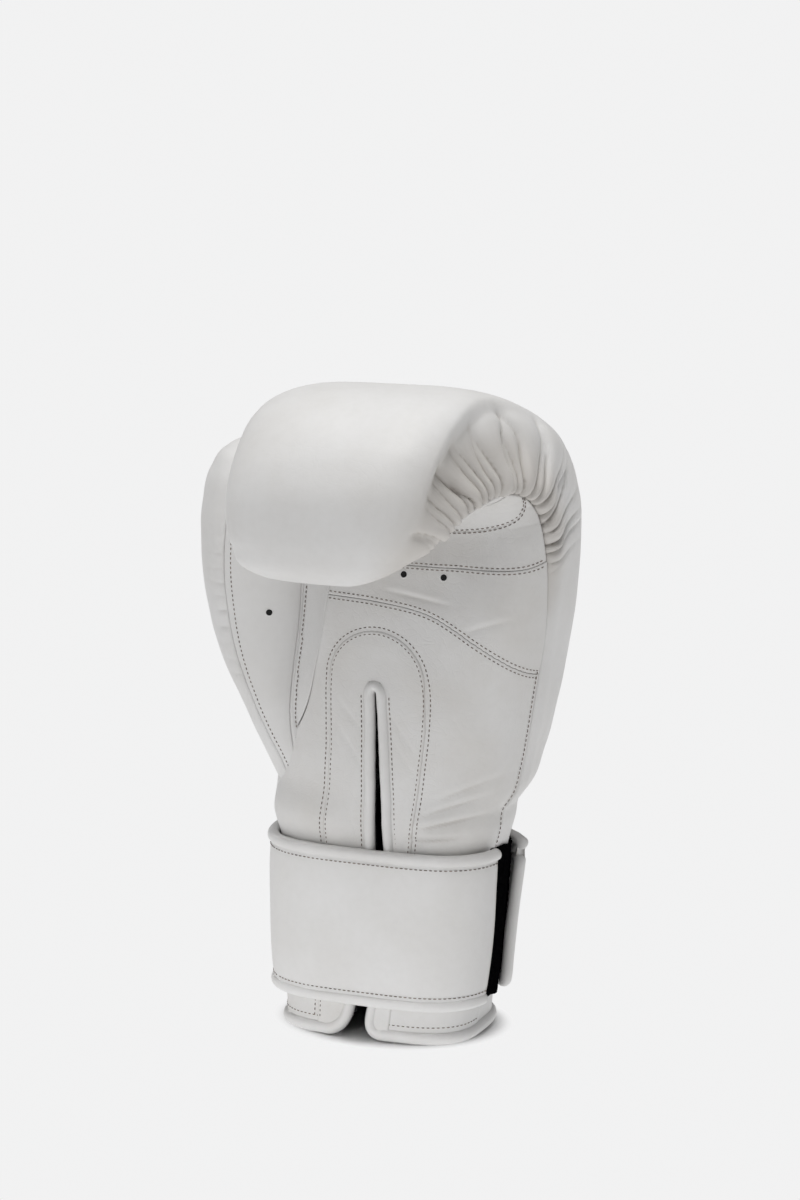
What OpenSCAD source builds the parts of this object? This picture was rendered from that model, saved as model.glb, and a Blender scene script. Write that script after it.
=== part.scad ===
// Boxing glove for the left hand, of the laceless training pattern: a padded fist, a separate
// thumb, a split cuff and a hook and loop wrist strap.
// Frame: +Z runs along the fingers, -Y is the palm side and -X is the thumb side. The glove
// stands on its hem at z = 0, and the origin is the middle of the hand opening.

/* [Glove] */
// Height from the hem to the top of the knuckles
glove_h = 307; // [280:1:330]
// Width of the padded fist, without the thumb
fist_w = 129; // [120:1:136]
// Depth of the fist, from the back of the hand to the front of the curled fingers
fist_d = 161; // [150:1:168]

/* [Leather and lining] */
// Thickness of the outer leather
leather_t = 1.6; // [1.2:0.1:2]
// Thickness of the inner lining
lining_t = 1; // [0.8:0.1:1.2]
// Diameter of the vent holes in the palm and the thumb
vent_d = 2.6; // [2:0.1:3.2]

/* [Cuff] */
// Height of the rolled hem that the glove stands on
hem_h = 7; // [6:0.5:8]
// How far the hem stands proud of the cuff
hem_proud = 2; // [1.5:0.1:2.4]
// Width of the slit in the palm and cuff
slit_w = 5; // [4.5:0.5:6]
// Width of the rolled binding along each edge of the slit
slit_roll = 5; // [4:0.5:6]

/* [Strap] */
// Width of the wrist strap, with its bindings
strap_w = 75; // [70:1:78]
// Height of the strap's lower edge above the floor
strap_z = 18; // [16:0.5:20]
// Thickness of the strap between its bindings
strap_t = 3.6; // [3:0.1:4]
// Height of each rolled binding along the strap's edges
strap_roll = 5.5; // [5:0.1:6]

/* [Hidden] */

leather = "#e9e8e4";
foam = "#d8cf9f";
cloth = "#202022";
velcro = "#111113";

gap = 0.5;                      // clearance between the fingers and the hand
thumb_gap = 0.8;                // clearance round the thumb
sx = fist_w / 129;              // the section table below is drawn for these three sizes
sy = fist_d / 161;
sz = glove_h / 307;

// Sections of the glove from the hem to the fingertips, each a plane through an outer point on the
// back and an inner point on the palm side. Columns: outer y, outer z, inner y, inner z, thumb side x,
// little finger side x, roundness of the back, roundness of the palm side, then the seam angles
// (little finger side, gusset, thumb side), then the wall thickness at the back, palm and two sides,
// and how far the little finger side leans, in at the back and out at the palm side.
SECTIONS = [
    [36, hem_h, -36, hem_h, -44, 49, 2.4, 3.6, 94.6, 266.7, 268.8, 8, 6, 8, 8, 0],
    [36, 50, -36, 50, -45.2, 53, 2.4, 3.6, 94.6, 266.7, 268.8, 8, 6, 8, 8, 0],
    [37, 92, -37, 92, -45.8, 57, 2.4, 3.6, 94.6, 264, 267.8, 8, 6, 8, 8, 0],
    [39, 110, -38, 110, -48, 60, 2.4, 3.4, 96.6, 248.2, 267, 9, 6, 9, 9, 0],
    [49, 118, -38, 118, -50, 66, 2.5, 3.2, 98.9, 235.7, 266.1, 19, 6, 9, 12, 0],
    [51, 129.4, -38.5, 129.4, -51, 69, 2.6, 3.0, 101, 226.1, 265.3, 24, 6, 9, 14, 0],
    [52, 131, -38.5, 131, -51, 70, 2.6, 3.0, 101, 226.1, 265.3, 26, 6, 29.5, 14, 0],
    [54, 152, -39, 148, -50, 75, 2.7, 2.9, 104, 214, 264, 36, 6, 28.5, 14, 0],
    [56, 186, -40, 178, -48, 81, 2.8, 2.9, 106, 206, 264, 46, 6, 26.5, 15, 0],
    [55, 222, -39, 204, -47, 85, 2.8, 3.0, 110, 202, 262, 50, 6, 25.5, 16, 0],
    [45, 256, -34, 225, -46, 86, 2.8, 3.0, 120, 202, 250, 42, 6, 24.5, 16, 0],
    [23, 284, -29, 240, -46, 84, 3.4, 3.0, 122, 206, 235, 32, 6, 22, 15, 3],
    [-6, 300, -33, 248.5, -46, 80, 3.9, 3.0, 122, 212, 226, 26, 6, 18, 15, 6],
    [-36, 307, -41, 252, -45, 75, 4.2, 3.0, 122, 214, 222, 23, 6, 16, 15, 8],
    [-67, 303, -51, 251, -44, 71, 4.2, 3.0, 122, 214, 222, 23, 6, 15, 15, 9],
    [-92, 287, -60, 246.5, -42, 68, 4.2, 2.9, 122, 214, 222, 25, 6, 14, 15, 9],
    [-105, 263, -67, 240.5, -40, 63, 3.7, 2.7, 122, 214, 224, 26, 6, 16, 17, 6],
    [-103, 243, -73, 235.5, -37, 55, 2.8, 2.5, 124, 216, 228, 14, 6, 18, 19, 3],
    [-95, 230, -81, 229, -28, 38, 2.4, 2.2, 125, 216, 232, 6, 6, 18, 19, 0]
];
// Numbers of the sections where pieces start and end.
HEM = 0;
CUFF_TOP = 3;
GUSSET_START = 7;
UPPER_SEAM = 8;
CREASE_SEAM = 10;
KNUCKLE = 13;
CAVITY_END = 16;
TIP = 18;

// Steps between seams around a section: back, palm, palm left of the slit, gusset.
BACK_STEPS = 7;
PALM_STEPS = 5;
LEFT_STEPS = 3;
GUSSET_STEPS = 2;
SEAM_P = BACK_STEPS;                       // station numbers of the seams
SEAM_G = SEAM_P + PALM_STEPS + LEFT_STEPS;
SEAM_T = SEAM_G + GUSSET_STEPS;
STATIONS = SEAM_T + BACK_STEPS;

// Sections of the thumb, all level: middle x, middle y, z, half width, half depth, wall thickness.
THUMB = [
    [-38, -13, 130, 14,   19,   5],
    [-44, -17, 150, 17,   20,   6],
    [-50, -18, 175, 21.5, 23,   9],
    [-53, -19, 200, 25,   25,  11],
    [-54, -20, 225, 26.5, 26,  13],
    [-56, -20, 245, 24.5, 24,  13],
    [-58, -20, 262, 18.5, 17.5, 8],
    [-59, -20, 272,  9,    8,   4]
];
THUMB_CAVITY_END = 5;
THUMB_TIP = 7;
THUMB_STATIONS = 20;
THUMB_SEAM_L = 11;                         // stations of the front panel's two seams
THUMB_SEAM_R = 7;

// Angles around the cuff, from the back over the little finger side to the palm and on: the strap's
// sewn end, its three hinges and its free end.
STRAP_START = 104;
HINGE_ROOT = 118;
HINGE_WRAP = 246;
HINGE_PEEL = 305;
STRAP_END = 426;
STRAP_STEP = 9;                            // least angle between the strap's stations
STRAP_GAP = 0.9;                           // angle between two strap segments
strap_off = 2.4;                           // from the cuff to the strap's inner face
roll_off = 1.7;                            // from the cuff to the strap's bindings
roll_t = 5.6;                              // thickness of the strap's bindings
core_inset = 1.1;                          // leather over the strap's webbing core
patch_t = 1;                               // thickness of the loop patch on the cuff
hook_t = 0.8;                              // thickness of the hook patch under the strap's end

// The slit runs from under the hem up the palm, leaning towards the little finger side.
slit_foot = [-4, -10];
slit_bend = [11, 70];
slit_head = [10, 168];
// The seam across the palm above it, from the thumb side to the little finger side.
PALM_SEAM = [[-60, 209], [-16, 209], [11, 208], [38, 203], [60, 189], [78, 175], [95, 162]];
// The stitched reinforcement round the slit: half widths at its foot and head, and its top.
patch_foot = [-21, 15];
patch_head = [-13, 34];
patch_top = 195;

// ---- Shapes -------------------------------------------------------------------------------------

function flat(rows) = [for (row = rows) for (p = row) p];

// A coordinate of a rounded section: n = 2 is an ellipse and larger values are squarer.
function squared(c, n) = sign(c) * pow(abs(c), 2 / n);

// The point of a section at an angle, with its wall set in by four amounts: back, palm, left, right.
function section_point(s, angle, inset) =
    let (
        outer = [s[0], s[1]],
        inner = [s[2], s[3]],
        inward = (inner - outer) / norm(inner - outer),
        back = outer + inward * inset[0],
        palm = inner - inward * inset[1],
        left = s[4] + inset[2],
        right = s[5] - inset[3],
        n = cos(angle) >= 0 ? s[6] : s[7],
        middle = (back + palm) / 2,
        across = squared(sin(angle), n),
        deep = squared(cos(angle), n),
        yz = middle - inward * norm(palm - back) / 2 * deep,
        lean = s[15] * max(0, across) * deep
    )
    [(left + right) / 2 + (right - left) / 2 * across - lean, yz[0], yz[1]];

function sized(s) = [
    for (c = [0 : len(s) - 1])
        c == 0 || c == 2 ? s[c] * sy : c == 1 || c == 3 ? s[c] * sz : c == 4 || c == 5 || c == 15 ? s[c] * sx : s[c]
];

function spread(from, to, steps) = [for (j = [0 : steps - 1]) from + (to - from) * j / steps];

// The angles of a section's stations: its seams, and even steps between them.
function station_angles(s) = concat(
    spread(0, s[8], BACK_STEPS),
    spread(s[8], 180, PALM_STEPS),
    spread(180, s[9], LEFT_STEPS),
    spread(s[9], s[10], GUSSET_STEPS),
    spread(s[10], 360, BACK_STEPS)
);

// Layers of the wall: 0 is the leather's face, 1 its underside, 2 the lining's back, 3 its face.
function wall_inset(s, layer) =
    layer <= 0 ? [for (j = [0 : 3]) layer]
    : layer == 1 ? [for (j = [0 : 3]) leather_t]
    : [for (j = [11 : 14]) s[j] - (layer == 2 ? lining_t : 0)];

// Part of one layer of the glove: sections k0 to k1, stations i0 to i1 (past the last, it wraps).
function wall(layer, k0, k1, i0, i1) = [
    for (k = [k0 : k1])
        let (s = sized(SECTIONS[k]), angles = station_angles(s))
        [for (i = [i0 : i1]) section_point(s, angles[i % STATIONS], wall_inset(s, layer))]
];

function thumb_wall(inset_share, grow, k0, k1, i0, i1) = [
    for (k = [k0 : k1])
        let (t = THUMB[k], inset = thumb_inset(t, inset_share) - grow)
        [for (i = [i0 : i1])
            let (angle = 360 * (i % THUMB_STATIONS) / THUMB_STATIONS)
            [
                t[0] * sx + (t[3] - inset) * squared(sin(angle), 2.3),
                t[1] * sy + (t[4] - inset) * squared(cos(angle), 2.3),
                t[2] * sz
            ]]
];

function thumb_inset(t, layer) =
    layer == 0 ? 0 : layer == 1 ? leather_t : layer == 2 ? t[5] - lining_t : t[5];

// A closed solid between two grids of points, an outer and an inner one.
module grid_solid(outer, inner, closed = false) {
    nk = len(outer);
    ni = len(outer[0]);
    size = nk * ni;
    last_i = closed ? ni - 1 : ni - 2;
    function at(layer, k, i) = layer * size + k * ni + i % ni;
    polyhedron(
        points = concat(flat(outer), flat(inner)),
        faces = concat(
            [for (k = [0 : nk - 2]) for (i = [0 : last_i]) each [
                [at(0, k, i), at(0, k, i + 1), at(0, k + 1, i + 1)],
                [at(0, k, i), at(0, k + 1, i + 1), at(0, k + 1, i)],
                [at(1, k, i), at(1, k + 1, i + 1), at(1, k, i + 1)],
                [at(1, k, i), at(1, k + 1, i), at(1, k + 1, i + 1)]
            ]],
            [for (i = [0 : last_i]) each [
                [at(0, 0, i), at(1, 0, i + 1), at(0, 0, i + 1)],
                [at(0, 0, i), at(1, 0, i), at(1, 0, i + 1)],
                [at(0, nk - 1, i), at(0, nk - 1, i + 1), at(1, nk - 1, i + 1)],
                [at(0, nk - 1, i), at(1, nk - 1, i + 1), at(1, nk - 1, i)]
            ]],
            closed ? [] : [for (k = [0 : nk - 2]) each [
                [at(0, k, 0), at(0, k + 1, 0), at(1, k + 1, 0)],
                [at(0, k, 0), at(1, k + 1, 0), at(1, k, 0)],
                [at(0, k, ni - 1), at(1, k + 1, ni - 1), at(0, k + 1, ni - 1)],
                [at(0, k, ni - 1), at(1, k, ni - 1), at(1, k + 1, ni - 1)]
            ]]
        )
    );
}

// A closed solid through rings of points, with flat ends.
module ring_solid(rings) {
    nk = len(rings);
    ni = len(rings[0]);
    polyhedron(
        points = flat(rings),
        faces = concat(
            [for (k = [0 : nk - 2]) for (i = [0 : ni - 1]) each [
                [k * ni + i, k * ni + (i + 1) % ni, (k + 1) * ni + (i + 1) % ni],
                [k * ni + i, (k + 1) * ni + (i + 1) % ni, (k + 1) * ni + i]
            ]],
            [[for (i = [ni - 1 : -1 : 0]) i]],
            [[for (i = [0 : ni - 1]) (nk - 1) * ni + i]]
        )
    );
}

module wall_part(outer_layer, inner_layer, k0, k1, i0, i1) {
    grid_solid(wall(outer_layer, k0, k1, i0, i1), wall(inner_layer, k0, k1, i0, i1));
}

module wall_tube(outer_layer, inner_layer, k0, k1) {
    last = STATIONS - 1;
    grid_solid(wall(outer_layer, k0, k1, 0, last), wall(inner_layer, k0, k1, 0, last), closed = true);
}

module thumb_part(outer_layer, inner_layer, k0, k1, i0, i1) {
    grid_solid(
        thumb_wall(outer_layer, 0, k0, k1, i0, i1),
        thumb_wall(inner_layer, 0, k0, k1, i0, i1)
    );
}

// The room that the thumb lies in: its own shape, a little larger.
module thumb_bed() {
    last = THUMB_STATIONS - 1;
    ring_solid(thumb_wall(0, thumb_gap, 0, THUMB_TIP, 0, last));
    translate([0, 0, -thumb_gap])
        ring_solid(thumb_wall(0, thumb_gap, 0, 1, 0, last));
    translate([0, 0, leather_t + thumb_gap])
        ring_solid(thumb_wall(0, thumb_gap, THUMB_TIP - 1, THUMB_TIP, 0, last));
}

module along_palm(low, high) {
    rotate([90, 0, 0])
        translate([0, 0, low])
            linear_extrude(high - low)
                children();
}

// The slit's outline from the front, widened on all sides.
module slit_outline(grow) {
    for (part = [[slit_foot, slit_bend], [slit_bend, slit_head]])
        hull() {
            for (end = part)
                translate(end)
                    circle(d = slit_w + 2 * grow, $fn = 20);
        }
}

module slit_room(grow) {
    along_palm(15, 60)
        slit_outline(grow);
}

// The outline of the stitched reinforcement round the slit.
module patch_outline() {
    hull() {
        polygon([[patch_foot[0], hem_h], [patch_foot[1], hem_h], [patch_head[1], 150], [patch_head[0], 150]]);
        translate([(patch_head[0] + patch_head[1]) / 2, patch_top - (patch_head[1] - patch_head[0]) / 2])
            circle(d = patch_head[1] - patch_head[0], $fn = 28);
    }
}

// A section of the cuff at any height up to its top.
function cuff_section(z) =
    let (
        k = z < SECTIONS[1][1] * sz ? 0 : z < SECTIONS[2][1] * sz ? 1 : 2,
        low = sized(SECTIONS[k]),
        high = sized(SECTIONS[k + 1])
    )
    low + (high - low) * (z - low[1]) / (high[1] - low[1]);

// Rows of points round the cuff: angles a0 to a1, at heights zs, at an offset from its leather.
function cuff_rows(a0, a1, zs, off) =
    let (steps = max(1, ceil((a1 - a0) / STRAP_STEP)))
    [for (z = zs) [
        for (j = [0 : steps])
            section_point(cuff_section(z), a0 + (a1 - a0) * j / steps, [-off, -off, -off, -off])
    ]];

module cuff_band(a0, a1, z0, z1, near, far) {
    grid_solid(cuff_rows(a0, a1, [z0, z1], far), cuff_rows(a0, a1, [z0, z1], near));
}

anchor_to = HINGE_ROOT - 2 * STRAP_GAP;
strap_low = strap_z + strap_roll;          // the strap's panel runs between its two bindings
strap_high = strap_z + strap_w - strap_roll;

module strap_panel(a0, a1) {
    difference() {
        cuff_band(a0, a1, strap_low, strap_high, strap_off, strap_off + strap_t);
        strap_core(a0, a1);
    }
}

// The webbing inside a strap segment, with leather all round it.
module strap_core(a0, a1) {
    near = strap_off + core_inset;
    far = strap_off + strap_t - core_inset;
    cuff_band(a0 + 2, a1 - 2, strap_low + 3, strap_high - 3, near, far);
}

module strap_binding(a0, a1, end_roll = 0) {
    for (z = [strap_z, strap_high])
        cuff_band(a0, a1 + end_roll, z, z + strap_roll, roll_off, roll_off + roll_t);
    if (end_roll > 0)
        cuff_band(a1, a1 + end_roll, strap_low, strap_high, roll_off, roll_off + roll_t);
}

// ---- The hand: fist, palm and cuff --------------------------------------------------------------

// Cuts a piece of the hand back from the slit's binding and from the thumb.
module fitted() {
    difference() {
        children();
        slit_room(slit_roll);
        thumb_bed();
    }
}

module back_panel() {
    color(leather)
        difference() {
            wall_part(0, 1, CUFF_TOP, KNUCKLE, SEAM_T, STATIONS + SEAM_P);
            thumb_bed();
        }
}

module back_foam() {
    color(foam)
        difference() {
            wall_part(1, 2, CUFF_TOP, UPPER_SEAM, SEAM_T, STATIONS + SEAM_P);
            thumb_bed();
        }
}

module knuckle_foam() {
    color(foam)
        difference() {
            wall_part(1, 2, UPPER_SEAM, KNUCKLE, SEAM_T, STATIONS + SEAM_P);
            thumb_bed();
        }
}

module hand_lining() {
    color(cloth)
        fitted()
            wall_tube(2, 3, HEM, KNUCKLE);
}

module vent(x, z) {
    along_palm(20, 60)
        translate([x, z])
            circle(d = vent_d, $fn = 20);
}

// Everything below the seam across the palm.
module below_palm_seam() {
    along_palm(-30, 60)
        polygon(concat(PALM_SEAM, [[95, 0], [-60, 0]]));
}

module palm_panel() {
    color(leather)
        fitted()
            intersection() {
                union() {
                    wall_part(0, 1, HEM, GUSSET_START, SEAM_P, SEAM_T);
                    wall_part(0, 1, GUSSET_START, CREASE_SEAM, SEAM_P, SEAM_G);
                }
                below_palm_seam();
            }
}

module palm_upper_panel() {
    color(leather)
        difference() {
            wall_part(0, 1, GUSSET_START, CREASE_SEAM, SEAM_P, SEAM_G);
            below_palm_seam();
            vent(22, 221);
            vent(42, 221);
            thumb_bed();
        }
}

module palm_crease_panel() {
    color(leather)
        difference() {
            wall_part(0, 1, CREASE_SEAM, KNUCKLE, SEAM_P, SEAM_T);
            thumb_bed();
        }
}

module palm_pad() {
    color(foam)
        difference() {
            wall_part(1, 2, HEM, KNUCKLE, SEAM_P, SEAM_T);
            slit_room(slit_roll);
            thumb_bed();
            vent(22, 221);
            vent(42, 221);
        }
}

module slit_patch() {
    color(leather)
        intersection() {
            difference() {
                grid_solid(
                    wall(-1, HEM, UPPER_SEAM + 1, SEAM_P, SEAM_G),
                    wall(0, HEM, UPPER_SEAM + 1, SEAM_P, SEAM_G)
                );
                slit_room(slit_roll);
            }
            along_palm(20, 60)
                patch_outline();
        }
}

module slit_binding() {
    color(leather)
        intersection() {
            union() {
                grid_solid(
                    wall(-1, HEM, CUFF_TOP, SEAM_P, SEAM_G),
                    wall(3, HEM, CUFF_TOP, SEAM_P, SEAM_G)
                );
                grid_solid(
                    wall(-2.2, CUFF_TOP, UPPER_SEAM + 1, SEAM_P, SEAM_G),
                    wall(3, CUFF_TOP, UPPER_SEAM + 1, SEAM_P, SEAM_G)
                );
            }
            difference() {
                slit_room(slit_roll);
                slit_room(0);
            }
        }
}

module thumb_gusset() {
    color(leather)
        difference() {
            wall_part(0, 1, GUSSET_START, CREASE_SEAM, SEAM_G, SEAM_T);
            thumb_bed();
        }
}

module cuff_back_panel() {
    color(leather)
        wall_part(0, 1, HEM, CUFF_TOP, SEAM_T, STATIONS + SEAM_P);
}

module cuff_foam() {
    color(foam)
        wall_part(1, 2, HEM, CUFF_TOP, SEAM_T, STATIONS + SEAM_P);
}

// The rolled edge that the glove stands on, open at the slit.
module hem_binding() {
    s = sized(SECTIONS[HEM]);
    outside = [for (a = [0 : 10 : 350]) section_point(s, a, [for (j = [0 : 3]) -hem_proud])];
    inside = [for (a = [0 : 10 : 350]) section_point(s, a, [for (j = [11 : 14]) s[j]])];
    color(leather)
        difference() {
            linear_extrude(hem_h * sz)
                difference() {
                    polygon([for (p = outside) [p[0], p[1]]]);
                    polygon([for (p = inside) [p[0], p[1]]]);
                }
            translate([slit_foot[0] - slit_w / 2, -60, -1])
                cube([slit_w, 60, hem_h * sz + 2]);
        }
}

module loop_patch() {
    color(velcro)
        cuff_band(-50, STRAP_START - 1, strap_z + 1, strap_high + strap_roll - 1, 0.25, patch_t);
}

module strap_anchor() {
    color(leather)
        union() {
            cuff_band(STRAP_START, anchor_to, strap_low, strap_high, 0, strap_off + strap_t);
            for (z = [strap_z, strap_high])
                cuff_band(STRAP_START, anchor_to, z, z + strap_roll, 0, roll_off + roll_t);
        }
}

// ---- The fingers --------------------------------------------------------------------------------

// Cuts a piece of the fingers back from the knuckle, so that it clears the hand as it opens.
module from_knuckle() {
    difference() {
        children();
        hinge = [SECTIONS[KNUCKLE][0] * sy, SECTIONS[KNUCKLE][1] * sz];
        crease = [SECTIONS[KNUCKLE][2] * sy, SECTIONS[KNUCKLE][3] * sz];
        translate([-150, hinge[0], hinge[1]])
            rotate([atan2(hinge[0] - crease[0], hinge[1] - crease[1]) * -1, 0, 0])
                translate([0, -gap, -80])
                    cube([300, 40, 90]);
        thumb_bed();
    }
}

module finger_cover() {
    color(leather)
        from_knuckle()
            wall_part(0, 1, KNUCKLE, TIP, SEAM_T, STATIONS + SEAM_P);
}

// The rings that close the fingertips: the last section, and the same a little further on.
function tip_rings(thick) =
    let (
        ring = wall(0, TIP, TIP, 0, STATIONS - 1)[0],
        before = sized(SECTIONS[TIP - 1]),
        last = sized(SECTIONS[TIP]),
        way = [0, last[0] + last[2] - before[0] - before[2], last[1] + last[3] - before[1] - before[3]],
        step = way / norm(way) * thick
    )
    [ring, [for (p = ring) p + step]];

module finger_tip_panel() {
    color(leather)
        ring_solid(tip_rings(leather_t));
}

module finger_inner_panel() {
    color(leather)
        from_knuckle()
            wall_part(0, 1, KNUCKLE, TIP, SEAM_P, SEAM_T);
}

module finger_foam() {
    color(foam)
        from_knuckle()
            difference() {
                ring_solid(wall(1, KNUCKLE, TIP, 0, STATIONS - 1));
                ring_solid(wall(2, KNUCKLE, CAVITY_END, 0, STATIONS - 1));
            }
}

module finger_lining() {
    color(cloth)
        from_knuckle()
            wall_tube(2, 3, KNUCKLE, CAVITY_END);
}

// The roll that the fingers close on, sewn in across the finger pocket.
module grip_bar() {
    s = sized(SECTIONS[CAVITY_END - 1]);
    foot = section_point(s, 180, [s[11], s[12], 0, 0]);
    radius = 3.2;
    color(foam)
        translate([s[4] + 32, foot[1] - radius * 0.8, foot[2] + radius * 0.8])
            rotate([0, 90, 0])
                cylinder(r = radius, h = s[5] - s[4] - 66, $fn = 10);
}

// ---- The thumb ----------------------------------------------------------------------------------

module thumb_back_cover() {
    color(leather)
        union() {
            thumb_part(0, 1, 0, THUMB_TIP, THUMB_SEAM_L, THUMB_STATIONS + THUMB_SEAM_R);
            thumb_cap();
        }
}

module thumb_cap() {
    ring = thumb_wall(0, 0, THUMB_TIP, THUMB_TIP, 0, THUMB_STATIONS - 1)[0];
    ring_solid([ring, [for (p = ring) p + [0, 0, leather_t]]]);
}

module thumb_front_panel() {
    color(leather)
        difference() {
            thumb_part(0, 1, 0, THUMB_TIP, THUMB_SEAM_R, THUMB_SEAM_L);
            vent(-43, 198);
        }
}

module thumb_foam() {
    last = THUMB_STATIONS - 1;
    color(foam)
        difference() {
            ring_solid(thumb_wall(1, 0, 0, THUMB_TIP, 0, last));
            ring_solid(thumb_wall(2, 0, 0, THUMB_CAVITY_END, 0, last));
            translate([0, 0, -1])
                ring_solid(thumb_wall(2, 0, 0, 1, 0, last));
            vent(-43, 198);
        }
}

module thumb_lining() {
    last = THUMB_STATIONS - 1;
    color(cloth)
        grid_solid(
            thumb_wall(2, 0, 0, THUMB_CAVITY_END, 0, last),
            thumb_wall(3, 0, 0, THUMB_CAVITY_END, 0, last),
            closed = true
        );
}

// ---- The strap ----------------------------------------------------------------------------------

palm_from = HINGE_ROOT + STRAP_GAP;
palm_to = HINGE_WRAP - STRAP_GAP / 2;
side_from = HINGE_WRAP + STRAP_GAP / 2;
side_to = HINGE_PEEL - STRAP_GAP / 2;
tail_from = HINGE_PEEL + STRAP_GAP / 2;
tail_to = STRAP_END - strap_roll;

module strap_palm_panel() { color(leather) strap_panel(palm_from, palm_to); }
module strap_palm_core() { color(cloth) strap_core(palm_from, palm_to); }
module strap_palm_binding() { color(leather) strap_binding(palm_from, palm_to); }

module strap_side_panel() { color(leather) strap_panel(side_from, side_to); }
module strap_side_core() { color(cloth) strap_core(side_from, side_to); }
module strap_side_binding() { color(leather) strap_binding(side_from, side_to); }

module strap_tail_panel() { color(leather) strap_panel(tail_from, tail_to); }
module strap_tail_core() { color(cloth) strap_core(tail_from, tail_to); }
module strap_tail_binding() { color(leather) strap_binding(tail_from, tail_to, end_roll = strap_roll); }

module hook_patch() {
    color(velcro)
        difference() {
            cuff_band(tail_from + 25, tail_to - 1, strap_low + 2, strap_high - 2, strap_off - hook_t, strap_off + 1);
            cuff_band(tail_from, tail_to, strap_low, strap_high, strap_off, strap_off + strap_t);
        }
}

// ---- The parts ----------------------------------------------------------------------------------

back_panel();
back_foam();
knuckle_foam();
hand_lining();
palm_panel();
palm_upper_panel();
palm_crease_panel();
palm_pad();
slit_patch();
slit_binding();
thumb_gusset();
cuff_back_panel();
cuff_foam();
hem_binding();
loop_patch();
strap_anchor();
finger_cover();
finger_tip_panel();
finger_inner_panel();
finger_foam();
finger_lining();
grip_bar();
thumb_back_cover();
thumb_front_panel();
thumb_foam();
thumb_lining();
strap_palm_panel();
strap_palm_core();
strap_palm_binding();
strap_side_panel();
strap_side_core();
strap_side_binding();
strap_tail_panel();
strap_tail_core();
strap_tail_binding();
hook_patch();
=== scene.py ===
"""A white leather training glove for the left hand, standing on its cuff with the palm forwards.

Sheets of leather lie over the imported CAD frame, sewn together along its seams. The sections below are the
frame's, read on a smooth curve, but for a finger end that is narrower on the little finger side. The
pleats, folds, rolled edges and stitches are made on top of them. Sizes are in millimetres until a mesh is
made, and in metres in materials, bends, lights and the camera.
"""

import math

import bmesh
import bpy
import numpy as np
from mathutils import Matrix, Vector


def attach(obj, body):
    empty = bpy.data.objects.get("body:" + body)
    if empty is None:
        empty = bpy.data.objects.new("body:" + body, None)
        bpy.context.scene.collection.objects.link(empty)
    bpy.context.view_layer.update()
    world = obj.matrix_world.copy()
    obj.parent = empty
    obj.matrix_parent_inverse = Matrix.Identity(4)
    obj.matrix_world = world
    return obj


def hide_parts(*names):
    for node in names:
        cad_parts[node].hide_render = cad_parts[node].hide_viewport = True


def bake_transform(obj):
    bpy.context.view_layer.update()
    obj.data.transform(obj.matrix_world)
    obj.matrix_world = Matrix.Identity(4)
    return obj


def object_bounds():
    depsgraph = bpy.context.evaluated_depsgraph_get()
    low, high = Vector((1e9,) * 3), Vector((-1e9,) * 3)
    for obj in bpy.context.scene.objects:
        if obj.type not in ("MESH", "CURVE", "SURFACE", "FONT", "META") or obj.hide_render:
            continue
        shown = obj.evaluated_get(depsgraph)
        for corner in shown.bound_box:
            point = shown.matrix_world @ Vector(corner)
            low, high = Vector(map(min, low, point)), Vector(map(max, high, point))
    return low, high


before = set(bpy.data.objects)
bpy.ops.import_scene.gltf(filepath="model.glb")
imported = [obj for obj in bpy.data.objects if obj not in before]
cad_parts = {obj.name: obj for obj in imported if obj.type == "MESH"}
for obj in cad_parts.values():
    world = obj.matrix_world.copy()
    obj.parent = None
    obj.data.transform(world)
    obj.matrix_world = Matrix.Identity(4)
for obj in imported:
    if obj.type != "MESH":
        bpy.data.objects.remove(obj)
CAD_BOX = [list(corner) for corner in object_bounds()]
MM = 0.001

# ---- The glove's sections and places ------------

DRAWN_SIZE = np.array([166.4, 161.0, 307.0])    # the size that the tables are drawn for
SCALE = (np.array(CAD_BOX[1]) - np.array(CAD_BOX[0])) / MM / DRAWN_SIZE

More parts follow.
